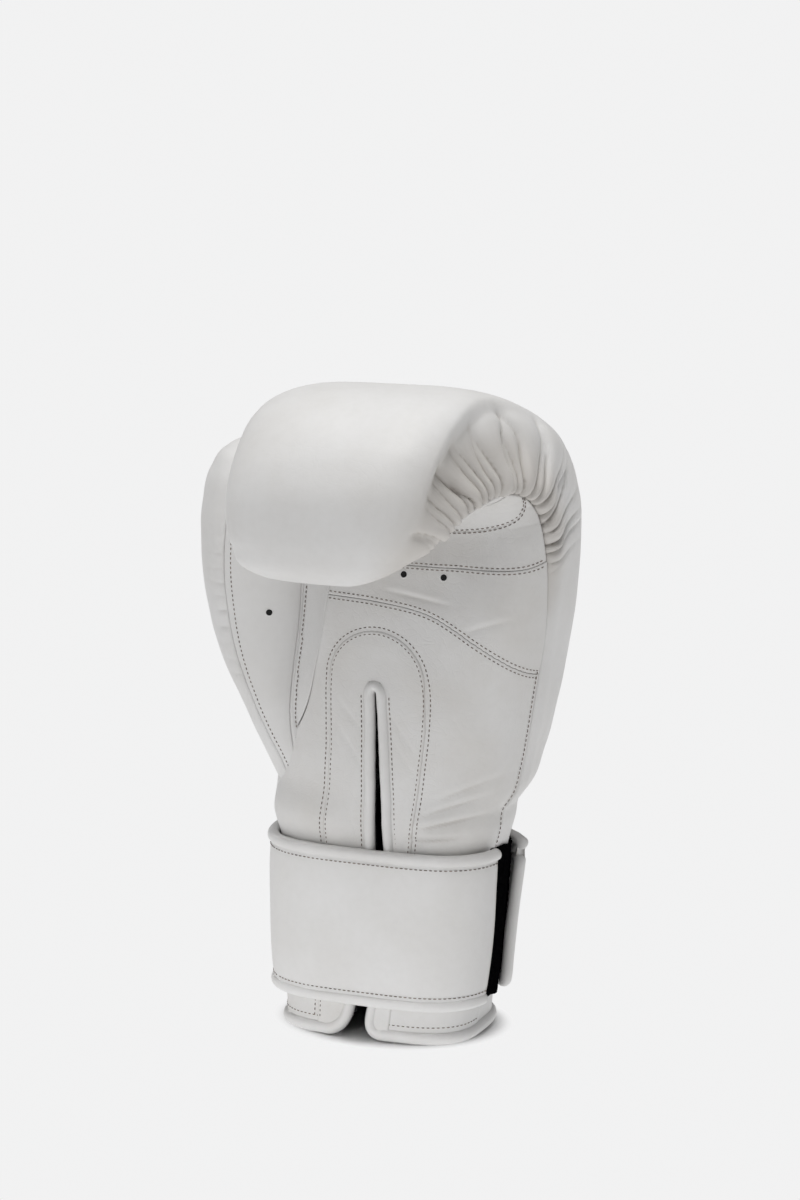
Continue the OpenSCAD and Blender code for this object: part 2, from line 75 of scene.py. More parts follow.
# Outer y and z, inner y and z, thumb side x, little finger side x, roundness of the back and the palm
# side, then the seam angles: little finger side, thumb web, thumb side. The last is how far the little
# finger side leans, in at the back and out at the palm side.
SECTIONS = [
    [36, 7, -36, 7, -44, 49, 2.4, 3.6, 94.6, 266.7, 268.8, 0],
    [36, 50, -36, 50, -45.2, 53, 2.4, 3.6, 94.6, 266.7, 268.8, 0],
    [37, 92, -37, 92, -45.8, 57, 2.4, 3.6, 94.6, 264, 267.8, 0],
    [39, 110, -38, 110, -48, 60, 2.4, 3.4, 96.6, 248.2, 267, 0],
    [49, 118, -38, 118, -50, 66, 2.5, 3.2, 98.9, 235.7, 266.1, 0],
    [52, 131, -38.5, 131, -51, 70, 2.6, 3.0, 101, 226.1, 265.3, 0],
    [54, 152, -39, 148, -50, 75, 2.7, 2.9, 104, 214, 264, 0],
    [56, 186, -40, 178, -48, 81, 2.8, 2.9, 106, 206, 264, 0],
    [55, 222, -39, 204, -47, 85, 2.8, 3.0, 108, 202, 262, 0],
    [45, 256, -34, 225, -46, 86, 2.8, 3.0, 110, 202, 250, -3],
    [23, 284, -29, 240, -46, 84, 3.4, 3.0, 114, 206, 235, -2],
    [-6, 300, -33, 248.5, -46, 80, 3.9, 3.0, 119, 212, 226, 3],
    [-36, 307, -41, 252, -45, 74, 4.2, 3.0, 122, 214, 222, 8],
    [-67, 303, -51, 251, -44, 68, 4.2, 3.0, 122, 214, 222, 11],
    [-92, 287, -60, 248, -42, 62, 4.2, 2.9, 122, 214, 222, 11],
    [-105, 263, -67, 242, -40, 54, 3.7, 2.7, 122, 214, 224, 9],
    [-103, 243, -73, 236.5, -37, 44, 2.8, 2.5, 124, 216, 228, 6],
    [-95, 230, -81, 229, -28, 28, 2.4, 2.2, 125, 216, 232, 2],
    [-89, 226, -85, 226, -15, 18, 2.2, 2.1, 126, 216, 234, 0],
]
SEAM_P, SEAM_G, SEAM_T = 8, 9, 10          # columns of the seam angles
CUFF_TOP, CREASE_SEAM, KNUCKLE, TIP = 3, 9, 12, 18
HEM_H = 7.0
THUMB_SIDE_ROUND = 2.9                     # the back's roundness is never more than this on the thumb side

# Middle x and y, z, half width and half depth of the thumb, and the angles of its two seams.
THUMB = [
    [-34, -11, 106, 8, 11, 172, 186],
    [-36, -12, 118, 11, 15, 170, 188],
    [-38, -13, 130, 14, 19, 164, 190],
    [-44, -17, 150, 17, 20, 148, 194],
    [-50, -18, 175, 21.5, 23, 128, 196],
    [-53, -19, 200, 25, 25, 116, 196],
    [-54, -20, 225, 26.5, 26, 113, 194],
    [-56, -20, 245, 24.5, 24, 112, 188],
    [-58, -20, 262, 18.5, 17.5, 112, 182],
    [-59, -20, 271, 11, 10, 112, 180],
    [-59, -20, 275, 3, 3, 112, 180],
    [-59, -20, 275.6, 0.2, 0.2, 112, 180],
]
THUMB_ROUND = 2.3
THUMB_R, THUMB_L = 5, 6                    # columns of the thumb's seam angles
THUMB_FOOT, THUMB_CAVITY_END = 2, 7        # rows where the thumb's frame and its lining start and end

# Angles round the cuff: the strap's sewn end, its three hinges and its free end.
STRAP_START, HINGE_ROOT, HINGE_WRAP, HINGE_PEEL, STRAP_END = 104, 118, 246, 305, 431
STRAP_LOW, STRAP_HIGH, STRAP_ROLL = 18, 93, 5.5
STRAP_MIDDLE = 55.5
STRAP_NEAR, STRAP_FAR = 2.4, 6.0           # the strap's faces, out from the cuff

# Points on the palm, x and z: the slit's middle line, the seam across, the stitched patch.
SLIT_FOOT, SLIT_BEND, SLIT_HEAD = (-4, -10), (11, 70), (10, 171)
PALM_SEAM = [(-60, 209), (-16, 209), (11, 208), (38, 203), (60, 189), (78, 175), (95, 162)]
PATCH_FOOT, PATCH_HEAD, PATCH_SHOULDER, PATCH_TOP = (-21, 15), (-13, 34), 150, 195
PALM_VENTS, THUMB_VENT, VENT_D = [(22, 221), (41, 221)], (-41, 199.5), 3.0

STITCH_PITCH, STITCH_LENGTH, THREAD = 2.35, 1.55, 0.24


def unit(v):
    return v / (np.linalg.norm(v, axis=-1, keepdims=True) + 1e-12)


def eased(x, low=0.0, high=1.0):
    """0 below low, 1 above high, and smooth between them."""
    t = np.clip((x - low) / (high - low), 0, 1)
    return t * t * (3 - 2 * t)


def bell(x, middle, width):
    """1 at the middle, falling away smoothly on both sides of it."""
    return np.exp(-((x - middle) / width) ** 2)


def read_line(where, marks, line):
    """The points of a line that has marks along it, read between them."""
    return np.stack([np.interp(where, marks, column) for column in line.T], axis=-1)


def way_along(points, axis):
    """The distance along each line of a grid of points, from its first one."""
    steps = np.linalg.norm(np.diff(points, axis=axis), axis=-1)
    return np.insert(np.cumsum(steps, axis=axis), 0, 0, axis=axis)


class Loft:
    """Sections one after another, read between their own places on a smooth curve."""

    def __init__(self, rows, middles):
        self.rows = rows
        steps = np.linalg.norm(np.diff(middles, axis=0), axis=1)
        self.marks = np.concatenate([[0], np.cumsum(steps)])
        slopes = np.diff(rows, axis=0) / steps[:, None]
        before, after = steps[:-1, None], steps[1:, None]
        inner = (slopes[:-1] * after + slopes[1:] * before) / (before + after)
        self.tangents = np.concatenate([slopes[:1], inner, slopes[-1:]])

    def mark(self, row):
        """How far along the loft a row is, in millimetres; row may lie between two."""
        return np.interp(row, range(len(self.marks)), self.marks)

    def section(self, distance):
        d = np.clip(np.atleast_1d(distance), 0, self.marks[-1])
        k = np.clip(np.searchsorted(self.marks, d, side="right") - 1, 0, len(self.marks) - 2)
        h = (self.marks[k + 1] - self.marks[k])[:, None]
        t = (d - self.marks[k])[:, None] / h
        start, end = self.rows[k], self.rows[k + 1]
        leave, arrive = self.tangents[k] * h, self.tangents[k + 1] * h
        return start + (end - start) * eased(t) + leave * t * (1 - t) ** 2 - arrive * t * t * (1 - t)


def direction(angle, n_back, n_palm):
    """The direction, in radians, in which a rounded section's point at an angle lies."""
    a = np.radians(angle)
    n = np.where(np.cos(a) >= 0, n_back, n_palm)
    s, c = (np.sign(v) * np.abs(v) ** (2 / n) for v in (np.sin(a), np.cos(a)))
    phi = np.arctan2(s, c)
    return phi + 2 * math.pi * np.round((a - phi) / (2 * math.pi))


def resampled(dense, shares):
    """Points at shares of the way along each line of a dense grid."""
    shares = np.broadcast_to(shares, (len(dense), np.shape(shares)[-1]))
    lines = zip(dense, way_along(dense, 1), shares)
    return np.array([read_line(share * marks[-1], marks, line) for line, marks, share in lines])


def hand_points(distances, start, end, shares, grow=(0, 0, 0, 0)):
    """The hand's surface between two seam angles: a row of points at each distance along it."""
    s = HAND.section(distances)
    start = s[:, start] - 360 * (start == SEAM_T and end == SEAM_P)
    first, last = (direction(angle, s[:, 6], s[:, 7])[:, None] for angle in (start, s[:, end]))
    phi = first + (last - first) * np.linspace(0, 1, 500)
    return resampled(ring_points(phi, s, grow), shares)


def ring_points(phi, s, grow=(0, 0, 0, 0)):
    """Points of the sections s in the directions phi, grown at the back, palm, thumb and other side."""
    inward = unit(s[:, 2:4] - s[:, 0:2])
    back, palm = s[:, 0:2] - inward * grow[0], s[:, 2:4] + inward * grow[1]
    left, right = s[:, 4] - grow[2], s[:, 5] + grow[3]
    c, sn = np.cos(phi), np.sin(phi)
    back_n = np.where(sn < 0, np.minimum(s[:, 6:7], THUMB_SIDE_ROUND), s[:, 6:7])
    n = np.where(c >= 0, back_n, s[:, 7:8])
    reach = (np.abs(c) ** n + np.abs(sn) ** n) ** (-1 / n)
    deep = np.linalg.norm(palm - back, axis=1)[:, None] / 2 * c * reach
    lean = s[:, 11:12] * np.maximum(sn * reach, 0) * c * reach
    x = ((left + right) / 2)[:, None] + ((right - left) / 2)[:, None] * sn * reach - lean
    yz = ((back + palm) / 2)[:, None, :] - inward[:, None, :] * deep[..., None]
    return np.concatenate([x[..., None], yz], axis=2)


def cuff_points(angles, heights, out):
    """Points and normals round the cuff at angles (columns) and heights (rows), out from its leather."""
    s = HAND.section(np.asarray(heights) - HEM_H * SCALE[2])
    out = np.broadcast_to(out, (len(heights), len(angles)))
    phi = direction(np.asarray(angles)[None, :], s[:, 6:7], s[:, 7:8])
    flat, ahead = (ring_points(turned, s) for turned in (phi, phi + 1e-3))
    across = ahead - flat
    normal = unit(np.stack([across[..., 1], -across[..., 0], np.zeros_like(phi)], axis=2))
    return flat - normal * out[..., None], -normal


def thumb_seam(distances, column):
    """The angle of one of the thumb's seams at distances along it."""
    return THUMB_LOFT.section(distances)[:, column]


def thumb_points(distances, start, end, shares, grow=0.0):
    """The thumb's surface between two angles: a row of points at each distance along it."""
    s = THUMB_LOFT.section(distances)
    first, last = (
        np.broadcast_to(direction(a, THUMB_ROUND, THUMB_ROUND), len(s))[:, None] for a in (start, end)
    )
    phi = first + (last - first) * np.linspace(0, 1, 400)
    c, sn = np.cos(phi), np.sin(phi)
    reach = (np.abs(c) ** THUMB_ROUND + np.abs(sn) ** THUMB_ROUND) ** (-1 / THUMB_ROUND)
    x = s[:, 0:1] + np.maximum(s[:, 3:4] + grow, 0.1) * sn * reach
    y = s[:, 1:2] + np.maximum(s[:, 4:5] + grow, 0.1) * c * reach
    z = np.broadcast_to(s[:, 2:3], x.shape)
    return resampled(np.stack([x, y, z], axis=2), shares)


rows = np.array(SECTIONS, float)
rows[:, [0, 2]] *= SCALE[1]
rows[:, [1, 3]] *= SCALE[2]
rows[:, [4, 5, 11]] *= SCALE[0]
HAND = Loft(rows, (rows[:, 0:2] + rows[:, 2:4]) / 2)
thumb_rows = np.array(THUMB, float) * np.array([*SCALE, 1, 1, 1, 1])
THUMB_LOFT = Loft(thumb_rows, thumb_rows[:, 0:3])


class Skin:
    """A dense grid of points that is read between its own points."""

    def __init__(self, points):
        self.points = points
        self.normals = grid_normals(points)

    def at(self, row, column):
        """Points and normals at rows and columns."""
        row, column = np.broadcast_arrays(row, column)
        r = np.clip(row, 0, self.points.shape[0] - 1.001)
        c = np.clip(column, 0, self.points.shape[1] - 1.001)
        r0, c0 = r.astype(int), c.astype(int)
        a, b = (r - r0)[..., None], (c - c0)[..., None]

        def read(grid):
            low = grid[r0, c0] * (1 - b) + grid[r0, c0 + 1] * b
            high = grid[r0 + 1, c0] * (1 - b) + grid[r0 + 1, c0 + 1] * b
            return low * (1 - a) + high * a

        return read(self.points), unit(read(self.normals))

    def find(self, x, z):
        """Rows and columns of the points that lie at x and z, seen from the front."""
        x, z = np.asarray(x, float), np.asarray(z, float)
        flat = self.points[..., [0, 2]].reshape(-1, 2)
        target = np.stack([x, z], axis=-1).reshape(-1, 2)
        nearest = [int(np.argmin(((flat - p) ** 2).sum(axis=1))) for p in target]
        row, column = (v.astype(float) for v in np.unravel_index(nearest, self.points.shape[:2]))
        for _ in range(4):
            here = self.at(row, column)[0]
            down = self.at(row + 0.5, column)[0] - self.at(row - 0.5, column)[0]
            along = self.at(row, column + 0.5)[0] - self.at(row, column - 0.5)[0]
            miss = target - here[:, [0, 2]]
            det = down[:, 0] * along[:, 2] - down[:, 2] * along[:, 0] + 1e-9
            row = row + (miss[:, 0] * along[:, 2] - miss[:, 1] * along[:, 0]) / det
            column = column + (miss[:, 1] * down[:, 0] - miss[:, 0] * down[:, 2]) / det
        return row.reshape(x.shape), column.reshape(x.shape)


def grid_normals(points):
    """Outward normals of a grid whose rows run up the glove and whose columns run round it."""
    return unit(np.cross(np.gradient(points, axis=0), np.gradient(points, axis=1)))


# ---- Meshes ------------

EDGE_STEPS = np.array([0, 0.12, 0.35, 0.7, 1.2, 1.9])    # points close together at a turned edge
TUBE_SIDES = 16


def placed(name, data):
    """An object in the scene for a mesh, a light or a camera."""
    thing = bpy.data.objects.new(name, data)
    bpy.context.scene.collection.objects.link(thing)
    return thing


def mesh_piece(name, points, faces, material, slot, nodes=()):
    """One mesh standing for the frame's nodes, which it hides. Its slot is not used."""
    mesh = bpy.data.meshes.new(name)
    mesh.from_pydata((np.asarray(points).reshape(-1, 3) * MM).tolist(), [], faces)
    mesh.update()
    mesh.polygons.foreach_set("use_smooth", [True] * len(mesh.polygons))
    mesh.materials.append(material)
    piece = placed(name, mesh)
    if nodes:
        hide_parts(*nodes)
    return piece


def grid_faces(rows_n, columns_n, first=0, closed=False, keep=None):
    """The faces of a grid of points, counted from first; closed joins its last column to its first."""
    last = columns_n if closed else columns_n - 1
    i, j = np.meshgrid(np.arange(rows_n - 1), np.arange(last), indexing="ij")
    if keep is not None:
        i, j = i[keep], j[keep]
    i, j = i.ravel(), j.ravel()
    k = (j + 1) % columns_n
    quads = [i * columns_n + j, (i + 1) * columns_n + j, (i + 1) * columns_n + k, i * columns_n + k]
    return (np.stack(quads, axis=1) + first).tolist()


def tube_faces(rings, sides):
    return [[a, d, c, b] for a, b, c, d in grid_faces(rings, sides, closed=True)]


def cover(name, base, normals, height, material, nodes=(), depth=3.0, keep=None, sides="btlr"):
    """A sheet of leather that lies height above base, its edges turned down: b, t, l and r are its sides."""
    points = base + normals * height[..., None]
    under = points - normals * depth
    strips = {
        "b": (under[:1], points[:1], 0),
        "t": (points[-1:], under[-1:], 0),
        "l": (under[:, :1], points[:, :1], 1),
        "r": (points[:, -1:], under[:, -1:], 1),
    }
    verts = [points.reshape(-1, 3)]
    faces = grid_faces(*points.shape[:2], keep=keep)
    for side in sides:
        near, far, axis = strips[side]
        strip = np.concatenate([near, far], axis=axis)
        faces += grid_faces(*strip.shape[:2], first=sum(map(len, verts)))
        verts.append(strip.reshape(-1, 3))
    piece = mesh_piece(name, np.concatenate(verts), faces, material, "shell_leather", nodes)
    weld(piece)
    return piece


def weld(piece):
    """Joins the points that lie on each other, so that shading runs over turned edges."""
    work = bmesh.new()
    work.from_mesh(piece.data)
    bmesh.ops.remove_doubles(work, verts=work.verts, dist=0.00002)
    work.to_mesh(piece.data)
    work.free()


def rounded(points, sides, radius):
    """How far each point of a sheet drops where the sheet turns down over its edges."""
    across, along = way_along(points, 1), way_along(points, 0)
    gaps = {"l": across, "r": across[:, -1:] - across, "b": along, "t": along[-1:] - along}
    inside = np.max([np.clip(radius - gaps[side], 0, radius) for side in sides], axis=0)
    return np.sqrt(radius ** 2 - inside ** 2) - radius


def spaced(length, step):
    """Shares along a sheet, closer together at its two edges."""
    inner = np.linspace(EDGE_STEPS[-1], length - EDGE_STEPS[-1], max(3, int(length / step)))
    return np.concatenate([EDGE_STEPS[:-1], inner, (length - EDGE_STEPS[:-1])[::-1]]) / length


def ripples(points, size, seed):
    """Smooth unevenness from -1 to 1, about size millimetres across."""
    waves = 7
    random = np.random.default_rng(seed)
    total = np.zeros(points.shape[:-1])
    for _ in range(waves):
        way = unit(random.normal(size=3)) * 2 * math.pi / (size * random.uniform(0.7, 1.5))
        total += np.sin(points @ way + random.uniform(0, 6.3))
    return total / math.sqrt(waves) / 1.4


def fold(points, start, end, width, depth):
    """A soft fold in the leather between two points, x and z, seen from the front."""
    a, b = np.array(start, float), np.array(end, float)
    p = points[..., [0, 2]]
    t = np.clip(((p - a) @ (b - a)) / ((b - a) @ (b - a)), 0, 1)
    off = p - (a + t[..., None] * (b - a))
    side = off @ unit(np.array([-(b - a)[1], (b - a)[0]])) / width
    ends = np.sin(math.pi * np.clip(t, 0.02, 0.98))
    away = np.exp(-((np.linalg.norm(off, axis=-1) / width) ** 2) * 0.5)
    return depth * ends * away * (0.6 * np.tanh(side * 1.6) - np.exp(-(side * 1.8) ** 2))


def sweep(path, normals, wide, tall, round_ends=True, caps=(True, True)):
    """A rolled edge along a path: wide across the surface and tall out of it. Returns points, faces."""
    wide, tall = (np.broadcast_to(size, len(path)) for size in (wide, tall))
    along = unit(np.gradient(path, axis=0))
    side = unit(np.cross(along, normals))
    if round_ends:
        shift = np.array([[1], [0.92], [0.7], [0.38]])
        shrink = np.sqrt(1 - shift[:, 0] ** 2) + 0.02
        head = path[0] - along[0] * shift * tall[0] * 0.6
        tail = path[-1] + along[-1] * shift[::-1] * tall[-1] * 0.6
        path = np.concatenate([head, path, tail])
        normals, side = (np.pad(v, ((4, 4), (0, 0)), mode="edge") for v in (normals, side))
        wide, tall = (np.concatenate([v[0] * shrink, v, v[-1] * shrink[::-1]]) for v in (wide, tall))
    phi = np.linspace(0, 2 * math.pi, TUBE_SIDES, endpoint=False)
    out = normals[:, None] * (tall[:, None] * np.cos(phi))[..., None]
    over = side[:, None] * (wide[:, None] * np.sin(phi))[..., None]
    rings = path[:, None] + out + over
    first = [list(range(TUBE_SIDES))[::-1]] * caps[0]
    last = [[(len(path) - 1) * TUBE_SIDES + j for j in range(TUBE_SIDES)]] * caps[1]
    return rings.reshape(-1, 3), tube_faces(len(path), TUBE_SIDES) + first + last


def stitches(name, lines, pitch=STITCH_PITCH, length=STITCH_LENGTH):
    """Rows of machine stitches along lines, each a pair of points and outward normals."""
    # A stitch is five rings of six points: how far along each ring is, how thick and how high.
    shape = [[-1, 0.3, -0.28], [-0.72, 0.85, -0.02], [0, 1, 0.1], [0.72, 0.85, -0.02], [1, 0.3, -0.28]]
    place, thick, lift = np.array(shape).T[:, :, None, None]
    phi = np.linspace(0, 2 * math.pi, 6, endpoint=False)[:, None]
    block = np.array(tube_faces(5, 6))
    verts = []
    for points, normals in lines:
        way = way_along(points[None], 1)[0]
        middles = np.arange(pitch / 2, way[-1] - pitch / 3, pitch)
        centre, before, after = (read_line(middles + shift, way, points) for shift in (0, -0.4, 0.4))
        up, along = unit(read_line(middles, way, normals)), unit(after - before)
        side = unit(np.cross(along, up))
        centre, up, along, side = (v[:, None, None] for v in (centre, up, along, side))
        round_it = (up * np.cos(phi) * 0.8 + side * np.sin(phi)) * THREAD * thick
        verts.append((centre + along * place * length / 2 + up * lift + round_it).reshape(-1, 3))
    verts = np.concatenate(verts)
    ends = [[5, 4, 3, 2, 1, 0], [24, 25, 26, 27, 28, 29]]
    faces = []
    for first in range(0, len(verts), 30):
        faces += (block + first).tolist() + [[v + first for v in end] for end in ends]
    return mesh_piece(name, verts, faces, THREAD_MATERIAL, "binding_leather")


# ---- Materials ------------


def new_material(name, colour, roughness):
    """A material, its tree, its shader and the place on the object that its textures start from."""
    material = bpy.data.materials.new(name)
    material.use_nodes = True
    tree = material.node_tree
    shader = tree.nodes["Principled BSDF"]
    shader.inputs["Base Color"].default_value = (*colour, 1)
    shader.inputs["Roughness"].default_value = roughness
    return material, tree, shader, add_node(tree, "ShaderNodeTexCoord").outputs["Object"]


def add_node(tree, kind, inputs=None, **settings):
    """A node with its settings, and its inputs linked or set."""
    node = tree.nodes.new(kind)
    for key, value in settings.items():
        setattr(node, key, value)
    for key, value in (inputs or {}).items():
        if isinstance(value, bpy.types.NodeSocket):
            tree.links.new(value, node.inputs[key])
        else:
            node.inputs[key].default_value = value
    return node


def noise(tree, place, scale, detail, output="Fac"):
    inputs = {"Vector": place, "Scale": scale, "Detail": detail}
    return add_node(tree, "ShaderNodeTexNoise", inputs).outputs[output]


def wave(tree, place, scale, distortion, **settings):
    inputs = {"Vector": place, "Scale": scale, "Distortion": distortion}
    return add_node(tree, "ShaderNodeTexWave", inputs, **settings).outputs["Fac"]


def cells(tree, place, scale, feature):
    inputs = {"Vector": place, "Scale": scale}
    return add_node(tree, "ShaderNodeTexVoronoi", inputs, feature=feature).outputs["Distance"]


def bump(tree, height, strength, distance, **more):
    inputs = {"Height": height, "Strength": strength, "Distance": distance, **more}
    return add_node(tree, "ShaderNodeBump", inputs).outputs["Normal"]


def vector_math(tree, operation, output, *values):
    inputs = dict(enumerate(values))
    return add_node(tree, "ShaderNodeVectorMath", inputs, operation=operation).outputs[output]


def show_mix(tree, output, factor, first, second):
    """Ends a tree in a mix of two shaders."""
    mix = add_node(tree, "ShaderNodeMixShader", {0: factor, 1: first.outputs[0], 2: second.outputs[0]})
    tree.links.new(mix.outputs[0], tree.nodes[output].inputs["Surface"])


def ranged(tree, value, low, high, start=0.0, end=1.0, **settings):
    """A value from start to end, spread over the range from low to high."""
    inputs = {"Value": value, "From Min": start, "From Max": end, "To Min": low, "To Max": high}
    return add_node(tree, "ShaderNodeMapRange", inputs, **settings).outputs["Result"]


def colour_ramp(tree, factor, *stops):
    """A colour between two stops, each a place and a colour."""
    ramp = add_node(tree, "ShaderNodeValToRGB", {"Fac": factor})
    for element, (place, colour) in zip(ramp.color_ramp.elements, stops):
        element.position, element.color = place, (*colour, 1)
    return ramp.outputs["Color"]


def multiplied(tree, colour, other, factor=1.0):
    inputs = {"Factor": factor, "A": colour, "B": other}
    return add_node(tree, "ShaderNodeMix", inputs, data_type="RGBA", blend_type="MULTIPLY").outputs["Result"]


def link_looks(tree, shader, **sockets):
    """Links values to the shader's inputs; Base_Color stands for its Base Color."""
    for name, value in sockets.items():
        tree.links.new(value, shader.inputs[name.replace("_", " ")])


# The leather round the gathers in the crook of the fingers is darker and warmer: partly painted shade of the
# gathers, partly the real tint of stretched, matt leather there. In full up to the first distance from its
# middle, in metres, and not at all past the second.
GATHERS_TINT_SHADE_MIDDLE, GATHERS_TINT_SHADE_REACH = (0.068, -0.052, 0.238), (0.042, 0.064)
GATHERS_TINT_SHADE_TONE = (0.83, 0.805, 0.775, 1)


def leather_material(name, pale, warm, roughness, grain=0.07, wrinkle=0.06, tint_shade_gathers=False):
    """Smooth coated leather: fine grain, faint creasing, uneven tone and gloss, painted shade in hollows."""
    material, tree, shader, place = new_material(name, pale, roughness)
    even = colour_ramp(tree, noise(tree, place, 28.0, 4.0), (0.3, warm), (0.7, pale))
    mottle = colour_ramp(tree, noise(tree, place, 260.0, 3.0), (0.2, (0.95, 0.95, 0.945)), (0.6, (1, 1, 1)))
    clean = multiplied(tree, even, mottle, 0.5)
    if tint_shade_gathers:
        # Painted shade, with a real warm tint: the leather is darkened round the gathers in the crook.
        way = vector_math(tree, "DISTANCE", "Value", place, GATHERS_TINT_SHADE_MIDDLE)
        zone = ranged(tree, way, 1.0, 0.0, *GATHERS_TINT_SHADE_REACH, interpolation_type="SMOOTHSTEP")
        clean = multiplied(tree, clean, GATHERS_TINT_SHADE_TONE, zone)
    # Painted shade: the colour darkens where the surface is hollow, in creases and folds.
    hollow = add_node(tree, "ShaderNodeNewGeometry").outputs["Pointiness"]
    painted_hollow_shade = colour_ramp(tree, hollow, (0.40, (0.70, 0.665, 0.62)), (0.488, (1, 1, 1)))
    gloss = ranged(tree, noise(tree, place, 55.0, 5.0), roughness - 0.08, roughness + 0.1)
    bent = {"Factor": 0.06, "A": place, "B": noise(tree, place, 35.0, 2.0, "Color")}
    bent = add_node(tree, "ShaderNodeMix", bent, data_type="VECTOR").outputs["Result"]
    creases = ranged(tree, cells(tree, bent, 190.0, "DISTANCE_TO_EDGE"), 0.0, 1.0, 0.0, 0.08)
    soft = bump(tree, creases, wrinkle, 0.0003)
    fine = bump(tree, cells(tree, place, 1150.0, "SMOOTH_F1"), grain, 0.0003, Normal=soft)
    link_looks(tree, shader, Base_Color=multiplied(tree, clean, painted_hollow_shade), Roughness=gloss, Normal=fine)
    return material


def thread_material():
    """Brown waxed thread with a twist."""
    material, tree, shader, place = new_material("stitching_thread", (0.15, 0.125, 0.11), 0.7)
    tone = noise(tree, place, 180.0, 2.0)
    colour = colour_ramp(tree, tone, (0.35, (0.085, 0.062, 0.050)), (0.65, (0.21, 0.165, 0.135)))
    twist = bump(tree, wave(tree, place, 900.0, 1.0), 0.5, 0.0001)
    link_looks(tree, shader, Base_Color=colour, Normal=twist)
    shader.inputs["Sheen Weight"].default_value = 0.2
    return material


def cloth_material():
    """The dark lining: a plain weave with a little fuzz."""
    material, tree, shader, place = new_material("lining_cloth", (0.012, 0.012, 0.014), 0.9)
    threads = [wave(tree, place, 420.0, 0.6, bands_direction=way) for way in ("Z", "DIAGONAL")]
    weave = add_node(tree, "ShaderNodeMath", dict(enumerate(threads)), operation="ADD").outputs[0]
    tone = noise(tree, place, 90.0, 3.0)
    colour = colour_ramp(tree, tone, (0.3, (0.008, 0.008, 0.010)), (0.7, (0.022, 0.022, 0.025)))
    link_looks(tree, shader, Base_Color=colour, Normal=bump(tree, weave, 0.6, 0.0003))
    shader.inputs["Sheen Weight"].default_value = 0.15
    return material


def velcro_material(name, size):
    """Hook and loop tape: black, rough and fuzzy, with rows of loops or hooks."""
    material, tree, shader, place = new_material(name, (0.010, 0.010, 0.011), 0.95)
    fuzz = noise(tree, place, size, 6.0)
    colour = colour_ramp(tree, fuzz, (0.35, (0.0008, 0.0008, 0.001)), (0.75, (0.004, 0.004, 0.0045)))
    link_looks(tree, shader, Base_Color=colour, Normal=bump(tree, fuzz, 0.9, 0.0006))
    shader.inputs["Specular IOR Level"].default_value = 0.0
    return material


PALE, WARM = (0.70, 0.695, 0.69), (0.655, 0.645, 0.632)
LEATHER = leather_material("white_leather", PALE, WARM, 0.52)
CREASED = leather_material("white_leather_creased", PALE, (0.635, 0.62, 0.60), 0.54, 0.11, 0.14)
TINT_SHADE_GATHERS_LEATHER = leather_material("white_leather_gathers_tint_shade", PALE, WARM, 0.52, tint_shade_gathers=True)
BINDING = leather_material("white_binding_leather", (0.71, 0.705, 0.70), WARM, 0.42, 0.08, 0.1)
THREAD_MATERIAL = thread_material()
CLOTH = cloth_material()
LOOP = velcro_material("loop_tape", 700.0)
HOOK = velcro_material("hook_tape", 1500.0)
# The vents' bores: near black, for the dark lining seen in the holes, with painted shade of their depth.
HOLE = new_material("vent_dark", (0.004, 0.004, 0.004), 0.9)[0]

# ---- The two bends on the hand ----------------

# For each body that flexes on the hand: the way across its bend, and where on that way, in metres, the
# bend starts and ends.
BENDS = {"fingers": ((0, -0.857, 0.514), 0.146, 0.185), "thumb": ((-0.994, 0, 0.104), 0.040, 0.050)}


def bends_with(body, piece):
    """Bakes a piece's transform into its mesh; the body's bend is read, but the piece is not blended to it.
    """
    way, start, end = BENDS[body]
    start, end = (tuple(unit(np.array(way)) * reach) for reach in (start, end))
    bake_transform(piece)


# ---- The main cover: back, knuckles and curled fingers ------------


def wrist_bulge(points):
    """The leather swells over the upper edge of the strap that squeezes the wrist."""
    return 2.8 * bell(points[..., 2], 103.5, 9)


def pleats(seam_way, gap, start, end, deep, spacing, lengths, seed, limit=90.0):
    """Gathers that run from a seam: sharp uneven creases with round ridges between them.

    seam_way is how far along the seam each point is, and gap how far it lies from it.
    They stop where gap reaches limit.
    """
    random = np.random.default_rng(seed)
    hollow = np.zeros_like(gap)
    place = start
    while place < end:
        inside = eased(place, start - 4, start + 18) * (1 - eased(place, end - 28, end + 2))
        strength = random.uniform(0.5, 1.0) * (0.12 + 0.88 * inside)
        length = random.uniform(*lengths) * (0.5 + 0.5 * inside)
        lean, sway, phase = random.uniform(-0.16, 0.16), random.uniform(0.3, 1.0), random.uniform(0, 6.3)
        line = place + lean * gap + sway * np.sin(gap / 6.5 + phase) * np.clip(gap / 8, 0, 1)
        steep, gentle = 0.45 + 0.025 * gap, 1.2 + 0.075 * gap
        if random.uniform() < 0.3:
            steep, gentle = gentle, steep
        off = seam_way - line
        across = np.abs(off) / np.where(off < 0, steep, gentle)
        fade = np.exp(-((gap / length) ** 2.2)) * (1 - eased(gap, limit - 9, limit))
        hollow += strength * np.exp(-across ** 0.92) * fade
        place += random.uniform(*spacing)
    zone = eased(seam_way, start - 8, start + 14) * (1 - eased(seam_way, end - 14, end + 8))
    ridge = 0.6 * deep * zone * bell(gap, 0, 24) * (1 - np.exp(-gap / 2.0))
    return ridge - deep * np.clip(hollow, 0, 1.3)


# The gathered side of the finger section ends in a soft corner: at these rows, so far from the seam,
# and it lies so much deeper than the smooth front. The gathers fan out between two more rows.
GUSSET_WIDTH = ([8, 11, 12, 13, 14, 15, 16, 17, 18], [44, 52, 50, 42, 34, 27, 22, 18, 15])
GUSSET_DEPTH = ([10.5, 11.5, 12.5, 13.2, 14.0, 15.0, 16.0, 17.0], [0, 1.5, 4.2, 5.4, 4.4, 2.0, 0.5, 0])
FAN_ROWS = (8.5, 15.7)


